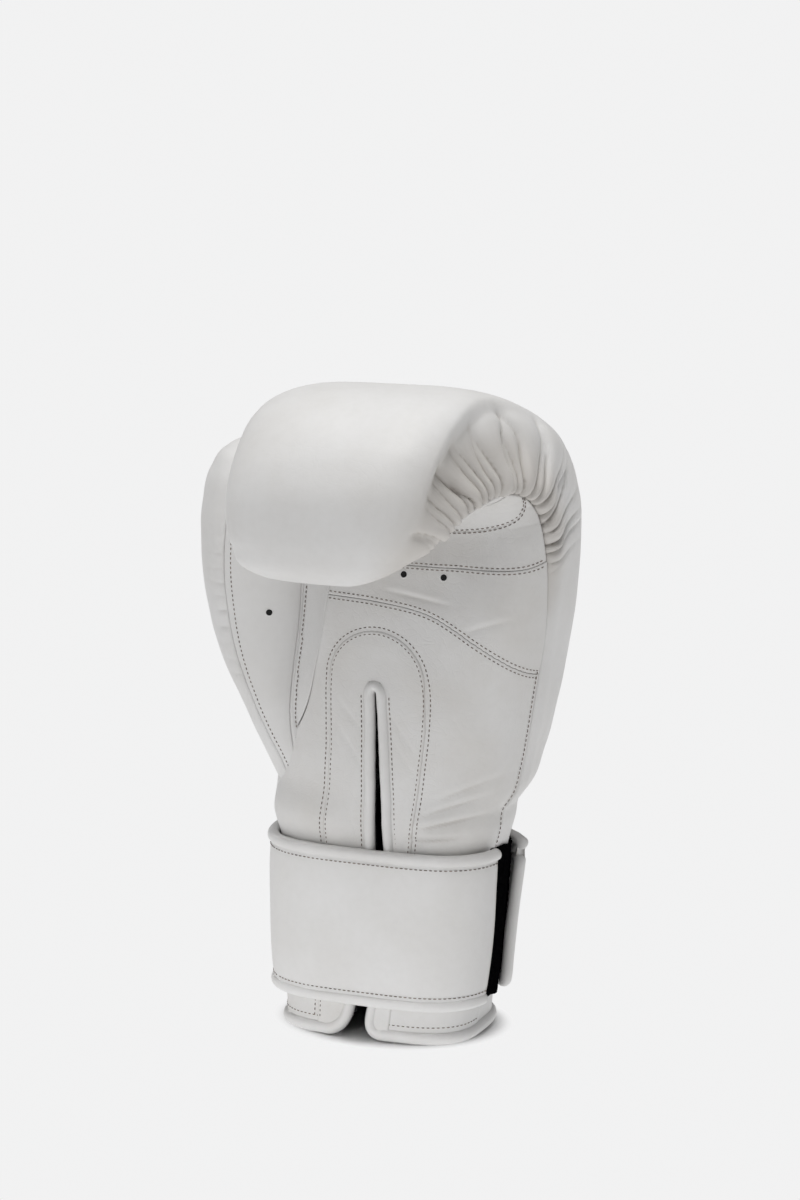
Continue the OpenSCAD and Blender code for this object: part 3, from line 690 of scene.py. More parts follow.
def main_cover():
    lower, tip = HAND.mark(CUFF_TOP) + 1.5, HAND.mark(TIP)
    fan_start, fan_end = HAND.mark(7.6), HAND.mark(16.6)
    distances = np.concatenate([
        lower + np.array([0, 0.15, 0.4, 0.8, 1.3]),
        np.arange(lower + 2.0, fan_start, 1.7),
        np.arange(fan_start, fan_end, 0.72),
        np.arange(fan_end, tip - 0.3, 1.5),
        [tip],
    ])
    around = 290.0
    fine, coarse = np.arange(2.8, 46, 1.05), np.linspace(47.2, around - 2.4, 105)
    shares = 1 - np.concatenate([EDGE_STEPS, fine, coarse, around - EDGE_STEPS[::-1]]) / around
    base = hand_points(distances, SEAM_T, SEAM_P, shares[::-1])
    far = way_along(base, 1)
    gap = far[:, -1:] - far
    seam_way = way_along(base[:, -1:], 0) + 0 * gap
    at_row = np.interp(distances, HAND.marks, range(len(HAND.marks)))[:, None] + 0 * gap
    fan = np.interp(FAN_ROWS, at_row[:, 0], seam_way[:, 0])
    corner = np.interp(at_row, *GUSSET_WIDTH)
    height = pleats(seam_way, gap, *fan, 5.8, spacing=(3.2, 6.2), lengths=(26, 50), seed=3, limit=corner)
    height -= eased(corner - gap, 0, 8) * (1 - np.exp(-gap / 5)) * np.interp(at_row, *GUSSET_DEPTH)
    height += pleats(seam_way, gap, 2, 26, deep=0.9, spacing=(3, 7), lengths=(5, 12), seed=11)
    height += 0.35 * ripples(base, 60, 5) + 0.12 * ripples(base, 19, 6)
    height += 0.8 * bell(far, 7, 6) + 0.7 * bell(gap, 7, 6)
    height += rounded(base, "lrb", 1.5) + wrist_bulge(base)
    height *= np.clip((TIP - at_row) * 2.5, 0, 1)
    nodes = ("back_panel", "back_foam", "knuckle_foam", "finger_cover", "finger_tip_panel", "finger_foam")
    normals = grid_normals(base)
    piece = cover("main_cover", base, normals, height, TINT_SHADE_GATHERS_LEATHER, nodes, depth=3.5, sides="blr")
    bends_with("fingers", piece)


# ---- The palm ------------

TUCK = 3                                   # how far the leather goes down behind the hem's roll
PALM_LAST, CREASE_LAST = 159, 199          # the last columns of the palm's and the crook's skins
# Folds over the strap, beside the slit and below the crook: start, end, width and depth.
FOLDS = [
    ((24, 103), (60, 112), 2.6, 1.7),
    ((30, 110), (62, 121), 2.4, 1.2),
    ((22, 98), (52, 101), 2.2, 1.5),
    ((36, 117), (66, 130), 2.6, 0.9),
    ((-10, 152), (4, 130), 1.8, 0.6),
    ((-9, 163), (5, 146), 1.6, 0.5),
    ((16, 158), (30, 138), 1.8, 0.6),
    ((17, 146), (31, 126), 1.8, 0.5),
    ((48, 196), (74, 204), 2.6, 0.7),
    ((12, 214), (46, 209), 2.2, 0.8),
]


def tucked(distances, start, end, shares):
    """Points of the hand's surface, carried on straight down where a distance is below 0."""
    points = hand_points(distances, start, end, shares)
    points[..., 2] += np.minimum(distances, 0)[:, None]
    return points


PALM_MARKS = np.arange(-TUCK, HAND.mark(CREASE_SEAM) + 12, 1.0)
PALM = Skin(tucked(PALM_MARKS, SEAM_P, SEAM_G, np.linspace(0, 1, PALM_LAST + 1)))


def palm_relief(points):
    """The palm leather's own unevenness: soft dents, folds and the swelling over the strap."""
    height = 0.35 * ripples(points, 48, 21) + 0.12 * ripples(points, 16, 22)
    height += sum(fold(points, *place) for place in FOLDS)
    left, right = opening_sides(points[..., 2])
    away = np.maximum(left - points[..., 0], points[..., 0] - right)
    return height + wrist_bulge(points) * (0.25 + 0.75 * eased(away, 6, 22))


def lifted(line, relief, lift):
    """Points and normals, the points raised by a cover's relief and by a lift."""
    points, normals = line
    return points + normals * (relief(points) + lift)[..., None], normals


def palm_at(line, lift):
    """Points and normals on the palm leather along a line of x and z, lifted off it."""
    return lifted(PALM.at(*PALM.find(line[:, 0], line[:, 1])), palm_relief, lift)


def smooth_line(corners, step=1.0):
    """A smooth curve through a few points, as many points a step apart."""
    corners = np.array(corners, float)
    curve = Loft(corners, corners)
    return curve.section(np.linspace(0, curve.marks[-1], max(2, int(curve.marks[-1] / step))))


def opening_sides(z):
    """x of the slit's left and right edges at heights z; it flares where the cuff's corners round off."""
    z = np.asarray(z, float)
    middle = np.interp(z, *zip(*((height, x) for x, height in (SLIT_FOOT, SLIT_BEND, SLIT_HEAD))))
    half = np.interp(z, [60, 162], [2.9, 0.5])

    def flare(reach, rise):
        t = np.clip(1 - z / rise, 0, 1)
        return reach * (1 - np.sqrt(1 - t ** 2))

    return middle - half - flare(14, 14), middle + half + flare(7, 9)


def face_middles(points):
    return (points[:-1, :-1] + points[1:, 1:]) / 2


def clear_of_slit(points, grow):
    """Which faces of a grid stay: those outside the slit widened by grow."""
    centre = face_middles(points)
    left, right = opening_sides(centre[..., 2])
    inside = (centre[..., 0] > left - grow) & (centre[..., 0] < right + grow)
    return ~(inside & (centre[..., 2] < SLIT_HEAD[1] + 1))


def crease_drop(way):
    """How far the seam in the crook drops towards the little finger side, by the way from its end."""
    return 6.5 * (1 - eased(way, 2, 48))


def palm_covers():
    """The palm's leather, below and above the seam across it."""
    columns = spaced(150, 1.25) * PALM_LAST
    grid = PALM.points
    seam = smooth_line(PALM_SEAM, 2.0)
    over = grid[..., 2] - np.interp(grid[..., 0], seam[:, 0], seam[:, 1])
    above = np.arange(60, len(over))
    seam_row = np.array([np.interp(0, over[60:, int(round(c))], above) for c in columns])
    crease_row = HAND.mark(CREASE_SEAM) + TUCK
    crease_way = way_along(grid, 1)[int(crease_row)]
    crease_row = crease_row - crease_drop(np.interp(columns, np.arange(len(crease_way)), crease_way))
    low = spaced(190, 1.3)[:, None] * (seam_row - 0.1)
    high = seam_row + 0.1 + spaced(48, 1.2)[:, None] * (crease_row - seam_row - 0.2)
    for name, rows_at, ends, nodes, fill in [
        ("palm_cover", low, "t", ["palm_panel", "palm_pad"], 0.5),
        ("palm_upper_cover", high, "bt", ["palm_upper_panel"], None),
    ]:
        base, normals = PALM.at(rows_at, columns)
        height = palm_relief(base) + rounded(base, "lr", 0.8) + rounded(base, ends, 0.45)
        keep = clear_of_slit(base, 2.6)
        piece = cover(name, base, normals, height, CREASED, nodes, keep=keep, sides=ends + "lr")
        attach(piece, "hand")


PATCH_LIFT = 0.55
PATCH_RADIUS, PATCH_MIDDLE = (PATCH_HEAD[1] - PATCH_HEAD[0]) / 2, sum(PATCH_HEAD) / 2
PATCH_CENTRE = PATCH_TOP - PATCH_RADIUS


def patch_side(z):
    """x of the reinforcement's left and right edges at heights z."""
    left, right = (
        np.interp(z, [HEM_H, PATCH_SHOULDER], [foot, head]) for foot, head in zip(PATCH_FOOT, PATCH_HEAD)
    )
    rise = np.clip(z - PATCH_CENTRE, 0, PATCH_RADIUS)
    half = np.sqrt(np.clip(PATCH_RADIUS ** 2 - rise ** 2, 0.01, None))
    top = z > PATCH_CENTRE
    return np.where(top, PATCH_MIDDLE - half, left), np.where(top, PATCH_MIDDLE + half, right)


def patch_line(inset):
    """The reinforcement's outline from its left foot over the top to its right foot, set in."""
    turn = np.linspace(math.pi, 0, 60)
    arc = (PATCH_RADIUS - inset) * np.stack([np.cos(turn), np.sin(turn)], axis=1)
    arc += [PATCH_MIDDLE, PATCH_CENTRE]
    up = np.arange(HEM_H + 1, PATCH_SHOULDER, 2.0)
    left, right = patch_side(up)
    rise, fall = np.stack([left + inset, up], axis=1), np.stack([right - inset, up], axis=1)[::-1]
    return smooth_line(np.concatenate([rise[::8], arc[::4], fall[::8]]))


def slit_patch_cover():
    """The reinforcement that is stitched on round the slit."""
    heights = np.concatenate([
        np.linspace(HEM_H - 2, PATCH_CENTRE, 120),
        PATCH_CENTRE + PATCH_RADIUS * np.sin(np.linspace(0, math.pi / 2, 34)[1:]),
    ])
    left, right = (side[:, None] for side in patch_side(heights))
    x = left + (right - left) * spaced(46, 1.0)
    z = heights[:, None] + 0 * x
    base, normals = PALM.at(*PALM.find(x, z))
    from_top = PATCH_RADIUS - np.hypot(x - PATCH_MIDDLE, z - PATCH_CENTRE)
    gap = np.where(z > PATCH_CENTRE, from_top, np.minimum(x - left, right - x))
    inside = np.clip(0.9 - np.clip(gap, 0, None), 0, 0.9)
    drop = 1.15 * (1 - np.sqrt(1 - (inside / 0.9) ** 2))
    height = palm_relief(base) + PATCH_LIFT - drop + 0.35 * bell(gap, 6, 5)
    keep = clear_of_slit(base, 2.4)
    nodes = ["slit_patch"]
    piece = cover("slit_patch_cover", base, normals, height, CREASED, nodes, depth=1.0, keep=keep, sides="lr")
    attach(piece, "hand")


ROLL = 2.6                                 # half the width of the slit's rolled binding


def slit_side_line(side, low, high, out):
    """The slit's edge as a line: side is -1 for its left and 1 for its right one."""
    z = np.linspace(low, high, max(2, int(abs(high - low))))
    return np.stack([opening_sides(z)[side > 0] + side * out, z], axis=1)


def slit_piping():
    left = slit_side_line(-1, 26, SLIT_HEAD[1] - 6, ROLL)
    right = slit_side_line(1, SLIT_HEAD[1] - 6, 26, ROLL)
    half = abs(right[0][0] - left[-1][0]) / 2
    turn = np.linspace(math.pi, 0, 20)[1:-1]
    arc = (left[-1] + right[0]) / 2 + half * np.stack([np.cos(turn), np.sin(turn) * 1.5], axis=1)
    path, normals = palm_at(np.concatenate([left, arc, right]), -0.3)
    tube = sweep(path, normals, ROLL + 0.1 * ripples(path, 7, 32), 2.9 + 0.12 * ripples(path, 9, 31))
    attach(mesh_piece("slit_piping", *tube, BINDING, "binding_leather", ["slit_binding"]), "hand")


def smoothed(values):
    """Rows of values averaged over nine, the first and last rows carried on."""
    padded = np.pad(values, ((4, 4), (0, 0)), mode="edge")
    return np.stack([np.convolve(column, np.ones(9) / 9, "valid") for column in padded.T], axis=1)


def hem_piping():
    """The rolled edge that the glove stands on, its front corners turning up beside the slit."""
    half = HEM_H / 2
    above = np.array([HEM_H + 0.5])
    left, right = opening_sides(np.array([half]))
    start, end = (int(PALM.find(x, above)[1][0]) for x in (left - 3.2, right + 3.2))
    front, rest, back = (
        hand_points([0.0], *seams, np.linspace(0, 1, count))[0]
        for *seams, count in ((SEAM_P, SEAM_G, PALM_LAST + 1), (SEAM_G, SEAM_T, 8), (SEAM_T, SEAM_P, 120))
    )
    ring = np.concatenate([front[start + 1:], rest[1:-1], back, front[1:end]])
    ring[:, 2] = half
    inward = unit((np.array([ring[:, 0].mean(), 0, half]) - ring) * np.array([1, 1, 0]))
    rise, fall = (palm_at(slit_side_line(side, 28, 5.5, 2.8), -1.0) for side in (-1, 1))
    points = smoothed(np.concatenate([rise[0], ring + inward * 2.6, fall[0][::-1]]))
    outs = smoothed(np.concatenate([rise[1], -inward, fall[1][::-1]]))
    on_floor = np.repeat([0.0, 1.0, 0.0], [len(rise[0]), len(ring), len(fall[0])])
    share = smoothed(on_floor[:, None])[:, 0]
    wide = 2.7 + (half - 2.7) * share + 0.08 * ripples(points, 10, 41)
    tube = sweep(points, unit(outs), wide, 3.2 + 1.5 * share)
    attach(mesh_piece("hem_piping", *tube, BINDING, "binding_leather", ["hem_binding"]), "hand")


def crease_skin(low, high):
    """The palm side between two rows as a dense skin, its rows a millimetre apart."""
    distances = np.arange(HAND.mark(low), HAND.mark(high), 1.0)
    return Skin(hand_points(distances, SEAM_P, SEAM_T, np.linspace(0, 1, CREASE_LAST + 1)))


def crease_relief(points):
    return 0.4 * ripples(points, 30, 51) + 0.15 * ripples(points, 12, 52) - 0.4


def crease_drop_at(skin, row, columns):
    """The drop of the seam in the crook at a skin's columns; the seam is at the row without it."""
    way = way_along(skin.points, 1)[int(row)]
    return crease_drop(np.interp(columns, np.arange(CREASE_LAST + 1), way))


def inner_seam(columns):
    """How far up the palm side the double stitching inside the fingers is: it climbs to the side seam."""
    return HAND.mark(10.05 + 0.95 * np.exp(-columns / 9))


def crease_covers():
    """The panel in the crook of the fingers and the one along their inside."""
    columns = spaced(190, 1.5) * CREASE_LAST
    for name, low, high, ends, nodes in [
        ("crease_cover", CREASE_SEAM, KNUCKLE, "bt", ["palm_crease_panel"]),
        ("finger_inner_cover", KNUCKLE, TIP, "b", ["finger_inner_panel", "grip_bar"]),
    ]:
        skin = crease_skin(low - 1, high)
        seam = HAND.mark(low) - HAND.mark(low - 1)
        start = seam + 0.1 - crease_drop_at(skin, seam, columns) * (low == CREASE_SEAM)
        last = len(skin.points) - 1.1
        rows_at = start + (last - start) * spaced(last, 1.2)[:, None]
        base, normals = skin.at(rows_at, columns)
        height = crease_relief(base)
        height += pleats(way_along(base, 0), way_along(base, 1), 8, 60, 0.5, (6, 11), (8, 22), 53)
        if low == CREASE_SEAM:
            to_seam = rows_at - (inner_seam(columns) - HAND.mark(low - 1))
            height += 0.35 * eased(to_seam, -0.4, 0.4) - 0.5 * bell(to_seam, 0, 0.6)
        height += rounded(base, ends, 0.45) + rounded(base, "lr", 0.8)
        bends_with("fingers", cover(name, base, normals, height, CREASED, nodes, sides=ends + "lr"))


def cuff_cover():
    """The back of the cuff, and the strip up the thumb side, which passes under the web."""
    distances = np.arange(-TUCK, HAND.mark(CUFF_TOP) + 4, 1.8)
    base = tucked(distances, SEAM_T, SEAM_P, spaced(150, 1.8))
    height = 0.3 * ripples(base, 40, 61) + rounded(base, "lr", 0.8) + wrist_bulge(base) - 0.2
    nodes = ["cuff_back_panel", "cuff_foam"]
    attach(cover("cuff_cover", base, grid_normals(base), height, LEATHER, nodes, sides="lr"), "hand")
    shares = spaced(22, 1.5)
    top = HAND.mark(CREASE_SEAM)
    base = tucked(np.concatenate([np.arange(-TUCK, top, 1.6), [top]]), SEAM_G, SEAM_T, shares)
    height = rounded(base, "lr", 0.8) + wrist_bulge(base) - 0.1
    under_web = eased(base[..., 2], 126, 150) * (1 - eased(base[..., 2], 216, 228))
    height -= 6.0 * under_web * (1 - shares ** 3)
    nodes = ["thumb_gusset"]
    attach(cover("thumb_side_gusset", base, grid_normals(base), height, LEATHER, nodes, sides="lr"), "hand")


# ---- The thumb ------------


def thumb_relief(points):
    return 0.3 * ripples(points, 34, 71) + 0.1 * ripples(points, 13, 72)


def thumb_covers():
    total = THUMB_LOFT.marks[-1]
    dome = total - 14 * np.cos(np.linspace(0, math.pi / 2, 16))
    distances = np.concatenate([np.arange(0, total - 14, 1.0), dome])
    right, left = thumb_seam(distances, THUMB_R), thumb_seam(distances, THUMB_L)
    top = eased(np.arange(len(distances)), len(distances) - 1, len(distances) - 12)[:, None]
    for name, start, end, shares, nodes in [
        ("thumb_front_cover", right, left, spaced(50, 1.2), ["thumb_front_panel"]),
        ("thumb_back_cover_leather", left, right + 360, spaced(105, 1.2), ["thumb_back_cover", "thumb_foam"]),
    ]:
        base = thumb_points(distances, start, end, shares)
        gap = way_along(base, 1)
        height = thumb_relief(base)
        if start is left:
            seam = way_along(base[:, :1], 0) + 0 * gap
            height += pleats(seam, gap, 60, 150, 1.5, (4.5, 9), (5, 10), 73)
            height += 0.8 * bell(gap, 6, 5) + 0.5 * bell(gap[:, -1:] - gap, 6, 5)
        height += rounded(base, "lr", 0.9)
        piece = cover(name, base, grid_normals(base), height * top, LEATHER, nodes, sides="lr")
        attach(piece, "thumb")


def up_the_thumb(heights):
    """Distances along the thumb of its middle line's points at heights."""
    return np.interp(heights, thumb_rows[:, 2], THUMB_LOFT.marks)


def thumb_at(column, offset, low, high, lift):
    """A line up the thumb beside one of its seams, offset round it in millimetres, from height to height."""
    distances = up_the_thumb(np.arange(low, high, 1.0))
    angles = thumb_seam(distances, column)
    base = thumb_points(distances, angles - 40, angles + 40, np.linspace(0, 1, 81))
    way = way_along(base, 1)
    line = np.array([read_line(offset, marks - marks[40], row) for marks, row in zip(way, base)])
    return lifted((line, grid_normals(base)[:, 40]), thumb_relief, lift)


def thumb_web_skin():
    """The strip between the palm and the thumb's inner seam: its points, normals and widths."""
    heights = np.arange(112, 236, 1.3)
    edge = PALM.points[:, -1]
    palm_edge = PALM.at(np.interp(heights, edge[:, 2], np.arange(len(edge))), float(PALM_LAST))[0]
    distances = up_the_thumb(heights)
    angles = thumb_seam(distances, THUMB_R)
    thumb_edge = thumb_points(distances, angles, angles + 30, np.linspace(0, 1, 30))[:, 0]
    shares = spaced(18, 1.0)
    base = palm_edge[:, None] + (thumb_edge - palm_edge)[:, None] * shares[None, :, None]
    length = np.linalg.norm(thumb_edge - palm_edge, axis=1)[:, None]
    normals = grid_normals(base)
    normals = np.where(normals[..., 1:2] > 0, -normals, normals)
    sag = -0.07 * length * 4 * shares * (1 - shares) - 0.25
    height = sag + rounded(base, "l", 0.8) + rounded(base, "r", 1.6) + 0.15 * ripples(base, 22, 81)
    return base + normals * height[..., None], normals, length * (1 - shares)


def thumb_web():
    """The strip of leather that joins the palm to the thumb's inner seam."""
    points, normals, way = thumb_web_skin()
    bends_with("thumb", cover("thumb_web", points, normals, 0 * way, LEATHER, sides="lr"))


# ---- The strap ------------

STRAP_ANGLES = np.arange(STRAP_START, STRAP_END + 0.01, 0.25)
STRAP_WAY = way_along(cuff_points(STRAP_ANGLES, [STRAP_MIDDLE], STRAP_FAR)[0], 1)[0]
# Each section of the strap: its nodes' name, its first and last angle, its joint and the angle of its hinge.
STRAP_PARTS = {
    "root": ("palm", STRAP_START, 230, "strap_root", HINGE_ROOT),
    "wrap": ("side", 230, 271, "strap_wrap", HINGE_WRAP),
    "tail": ("tail", 271, STRAP_END, "strap_peel", HINGE_PEEL),
}


def strap_angles(start, end, step=1.8):
    """Angles a step apart along the strap."""
    low, high = np.interp([start, end], STRAP_ANGLES, STRAP_WAY)
    ways = np.linspace(low, high, max(3, int((high - low) / step)))
    return np.interp(ways, STRAP_WAY, STRAP_ANGLES)


def strap_lift(angles, heights):
    """How far the strap stands off beyond its own place: its free end lifts a little at the top."""
    end = eased(np.asarray(angles), 408, STRAP_END)
    return np.outer(0.4 + 1.6 * eased(np.asarray(heights), 45, 88), end)


def strap_drop(angles):
    """How much lower the strap, and the tape beneath its end, lies than where it is sewn on."""
    turned = np.where(angles < STRAP_START, angles + 360, angles)
    return 4.5 * eased(turned, 250, STRAP_END) * (1 - eased(turned, STRAP_END + 4, STRAP_START + 360))


def bends_at_hinge(piece):
    """Bakes a strap piece's transform into its mesh; it is not blended over a hinge."""
    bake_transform(piece)


def band(name, angles, outer, inner, caps, material, slot, nodes):
    """A closed band round the cuff from its outer and inner faces; caps says which of its ends close."""
    loop = np.concatenate([outer, inner, outer[:1]])
    loop[..., 2] -= strap_drop(angles)
    rows_n, size = loop.shape[:2]
    first = [i * size for i in range(rows_n - 1)]
    last = [i + size - 1 for i in first][::-1]
    faces = grid_faces(rows_n, size) + [first] * caps[0] + [last] * caps[1]
    return mesh_piece(name, loop, faces, material, slot, nodes)


def strap_panel(name, start, end, nodes):
    """The padded strap between its bindings, crowned, with a dip along each row of stitches."""
    low, high = STRAP_LOW + STRAP_ROLL - 1.2, STRAP_HIGH - STRAP_ROLL + 1.2
    angles = strap_angles(start, min(end, STRAP_END - 3))
    heights = low + (high - low) * spaced(high - low, 1.7)
    middle, half = (low + high) / 2, (high - low) / 2
    crown = 1.1 * (1 - (np.abs(heights - middle) / half) ** 3.5)
    dips = bell(heights, low + 2.6, 0.9) + bell(heights, high - 2.6, 0.9)
    out = (STRAP_FAR - 0.2 + crown - 0.35 * dips)[:, None] + strap_lift(angles, heights)
    outer, normals = cuff_points(angles, heights, out)
    outer = outer + normals * (0.22 * ripples(outer, 34, 91) + 0.08 * ripples(outer, 13, 92))[..., None]
    inner, _ = cuff_points(angles, heights[::-1], STRAP_NEAR + strap_lift(angles, heights[::-1]))
    caps = (start == STRAP_START, end == STRAP_END)
    piece = band(name, angles, outer, inner, caps, LEATHER, "shell_leather", nodes)
    weld(piece)
    return piece


def strap_edge_path(start, end, inset=0.0):
    """Angles and heights of the strap's edge: its lower edge, its free end's and its upper edge."""
    corner = 7.0
    low, high = STRAP_LOW + STRAP_ROLL / 2 + inset, STRAP_HIGH - STRAP_ROLL / 2 - inset
    way_low, way_high = np.interp([start, end], STRAP_ANGLES, STRAP_WAY)
    if end < STRAP_END:
        angles = strap_angles(start, end)
        return [(angles, np.full(len(angles), z)) for z in (low, high)]
    tip = way_high - STRAP_ROLL / 2 - inset
    straight = np.arange(way_low, tip - corner, 1.8)
    turn = np.linspace(-math.pi / 2, 0, 9)
    bend = tip - corner + corner * np.cos(turn)
    ways = np.concatenate([straight, bend, np.full(34, tip), bend, straight[::-1]])
    heights = np.concatenate([
        np.full(len(straight), low),
        low + corner + corner * np.sin(turn),
        np.linspace(low + corner, high - corner, 36)[1:-1],
        high - corner - corner * np.sin(turn[::-1]),
        np.full(len(straight), high),
    ])
    return [(np.interp(ways, STRAP_WAY, STRAP_ANGLES), heights)]


def strap_line(angles, heights, out):
    """Points and normals along the strap at matching angles and heights."""
    found = [cuff_points([a], [h], out + strap_lift([a], [h])) for a, h in zip(angles, heights)]
    points, normals = (np.array([pair[part][0, 0] for pair in found]) for part in (0, 1))
    points[:, 2] -= strap_drop(angles)
    return points, normals


def strap_binding(name, start, end, nodes):
    """The rolled bindings along the strap's edges; the one round the free end is a single roll."""
    verts, faces = [], []
    for angles, heights in strap_edge_path(start, end):
        path, normals = strap_line(angles, heights, (STRAP_NEAR + STRAP_FAR) / 2 + 0.3)
        wide = STRAP_ROLL / 2 + 0.08 * ripples(path, 9, 95)
        tall = 2.85 + 0.08 * ripples(path, 12, 96)
        caps = (start == STRAP_START, False)
        points, quads = sweep(path, normals, wide, tall, round_ends=False, caps=caps)
        first = sum(map(len, verts))
        faces += [[v + first for v in face] for face in quads]
        verts.append(points)
    return mesh_piece(name, np.concatenate(verts), faces, BINDING, "binding_leather", nodes)


def strap():
    for name, (node, start, end, joint, hinge) in STRAP_PARTS.items():
        edges = strap_edge_path(start, end, inset=STRAP_ROLL / 2 + 1.3)
        lines = [strap_line(*edge, STRAP_FAR + 0.12) for edge in edges]
        nodes = ["strap_anchor"] * (name == "root") + [f"strap_{node}_panel", f"strap_{node}_core"]
        for piece in (
            strap_panel(f"strap_{name}_cover", start, end, nodes),
            strap_binding(f"strap_{name}_piping", start, end, [f"strap_{node}_binding"]),
            stitches(f"strap_{name}_stitches", lines, pitch=2.3),
        ):
            bends_at_hinge(piece)


def tape_patch(node, start, end, inset, faces_at, material, body, seed):
    """A patch of hook and loop tape with a rough face, inset from the strap's edges."""
    near, far = faces_at
    angles = strap_angles(start, end, 1.1) if start >= STRAP_START else np.linspace(start, end, 130)
    heights = np.linspace(STRAP_LOW + inset, STRAP_HIGH - inset, 60)
    outer, normals = cuff_points(angles, heights, far)
    random = np.random.default_rng(seed)
    outer = outer + normals * random.uniform(-0.25, 0.3, outer.shape[:2])[..., None]
    inner, _ = cuff_points(angles, heights[::-1], near)
    piece = band(f"{node}_tape", angles, outer, inner, (True, True), material, "hook_and_loop", [node])
    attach(piece, body)


# ---- Lining, vents and stitches ------------

# How far inside the leather the lining lies at the hand's rows: at the back, the palm, the thumb side
# and the little finger side. The thumb's lining has one depth at each of its rows.
HAND_WALLS = np.array([
    [8, 6, 8, 8], [8, 6, 8, 8], [8, 6, 8, 8], [9, 6, 9, 9], [19, 6, 9, 12], [26, 6, 20, 14],
    [36, 6, 28.5, 14], [46, 6, 26.5, 15], [50, 6, 25.5, 16], [42, 6, 24.5, 16], [32, 6, 22, 15],
    [26, 6, 18, 15], [23, 6, 16, 15], [23, 6, 15, 15], [25, 6, 14, 15], [26, 6, 16, 17],
])
THUMB_WALLS = [5, 6, 9, 11, 13, 13]


def linings():
    for name, low, high, below, body, node in [
        ("hand_lining_cloth", 0, KNUCKLE, 4, "hand", "hand_lining"),
        ("finger_lining_cloth", KNUCKLE + 0.1, 15, 0, "fingers", "finger_lining"),
    ]:
        distances = np.arange(HAND.mark(low) - below, HAND.mark(high), 2.5)
        rings = []
        for d in distances:
            wall = read_line(max(d, 0), HAND.marks[:len(HAND_WALLS)], HAND_WALLS)
            for seams in ((SEAM_P, SEAM_T), (SEAM_T, SEAM_P)):
                rings.append(hand_points([d], *seams, np.linspace(0, 1, 60), -wall)[0, :-1])
        points = np.array(rings).reshape(len(distances), -1, 3)
        points[..., 2] += np.minimum(distances, 0)[:, None]
        points = points + grid_normals(points) * (0.5 * ripples(points, 26, 101) - 0.3)[..., None]
        keep = clear_of_slit(points, 1.0) | (face_middles(points)[..., 1] > 0)
        keep = np.pad(keep, ((0, 0), (0, 1)), constant_values=True)
        faces = grid_faces(*points.shape[:2], closed=True, keep=keep)
        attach(mesh_piece(name, points, faces, CLOTH, "lining", [node]), body)
    marks = THUMB_LOFT.marks[THUMB_FOOT:THUMB_CAVITY_END + 1]
    distances = np.arange(marks[0], marks[-1], 2.0)
    inset = np.interp(distances, marks, THUMB_WALLS)[:, None]
    points = thumb_points(distances, 0, 360, np.linspace(0, 1, 60, endpoint=False), -inset)
    faces = grid_faces(*points.shape[:2], closed=True)
    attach(mesh_piece("thumb_lining_cloth", points, faces, CLOTH, "lining", ["thumb_lining"]), "thumb")


def vent(name, centre, normal, body):
    """A punched air hole: a dark bore in a small raised lip of leather."""
    side = unit(np.cross(normal, np.array([0, 0, 1.0])))
    phi = np.linspace(0, 2 * math.pi, 24, endpoint=False)[:, None]
    ring = side * np.cos(phi) + np.cross(side, normal) * np.sin(phi)
    r = VENT_D / 2
    lip = [(r + 0.75, -0.25), (r + 0.4, 0.16), (r + 0.1, 0.2), (r - 0.06, 0.05)]
    # The bore is a flat dark disc: the dark lining seen in the hole, with painted shade of its depth.
    bore = [(r - 0.02, 0.09), (r / 2, 0.04), (0.02, 0.02)]
    looks = {"lip": (lip, LEATHER, "shell_leather"), "bore": (bore, HOLE, "lining")}
    for part, (profile, material, slot) in looks.items():
        rings = [centre + ring * radius + normal * height for radius, height in profile]
        faces = grid_faces(len(profile), 24, closed=True)
        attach(mesh_piece(f"{name}_{part}", rings, faces, material, slot), body)


def vents():
    points, normals = palm_at(np.array(PALM_VENTS), 0.05)
    for number, (point, normal) in enumerate(zip(points, normals), 1):
        vent(f"palm_vent_{number}", point, normal, "hand")
    distances = np.arange(0, 140, 1.0)
    seams = (thumb_seam(distances, column) for column in (THUMB_R, THUMB_L))
    grid = thumb_points(distances, *seams, np.linspace(0, 1, 80))
    off = (grid[..., 0] - THUMB_VENT[0]) ** 2 + (grid[..., 2] - THUMB_VENT[1]) ** 2
    place = np.unravel_index(np.argmin(off), off.shape)
    vent("thumb_vent", *lifted((grid[place], grid_normals(grid)[place]), thumb_relief, 0.05), "thumb")


def crease_seam_lines(offset):
    """The line across the palm side along the seam in the crook, offset up from it."""
    skin = crease_skin(CREASE_SEAM - 1, CREASE_SEAM + 1)
    seam = HAND.mark(CREASE_SEAM) - HAND.mark(CREASE_SEAM - 1)
    columns = np.linspace(3, 160, 160)
    return skin.at(seam - crease_drop_at(skin, seam, columns) + offset, columns)


def inner_seam_line(offset, lift):
    """A line along the double stitching inside the fingers, offset up from its seam and lifted."""
    skin = crease_skin(CREASE_SEAM, KNUCKLE)
    columns = np.linspace(0, 160, 240)
    points, normals = skin.at(inner_seam(columns) - HAND.mark(CREASE_SEAM) + offset, columns)
    return points + normals * lift, normals


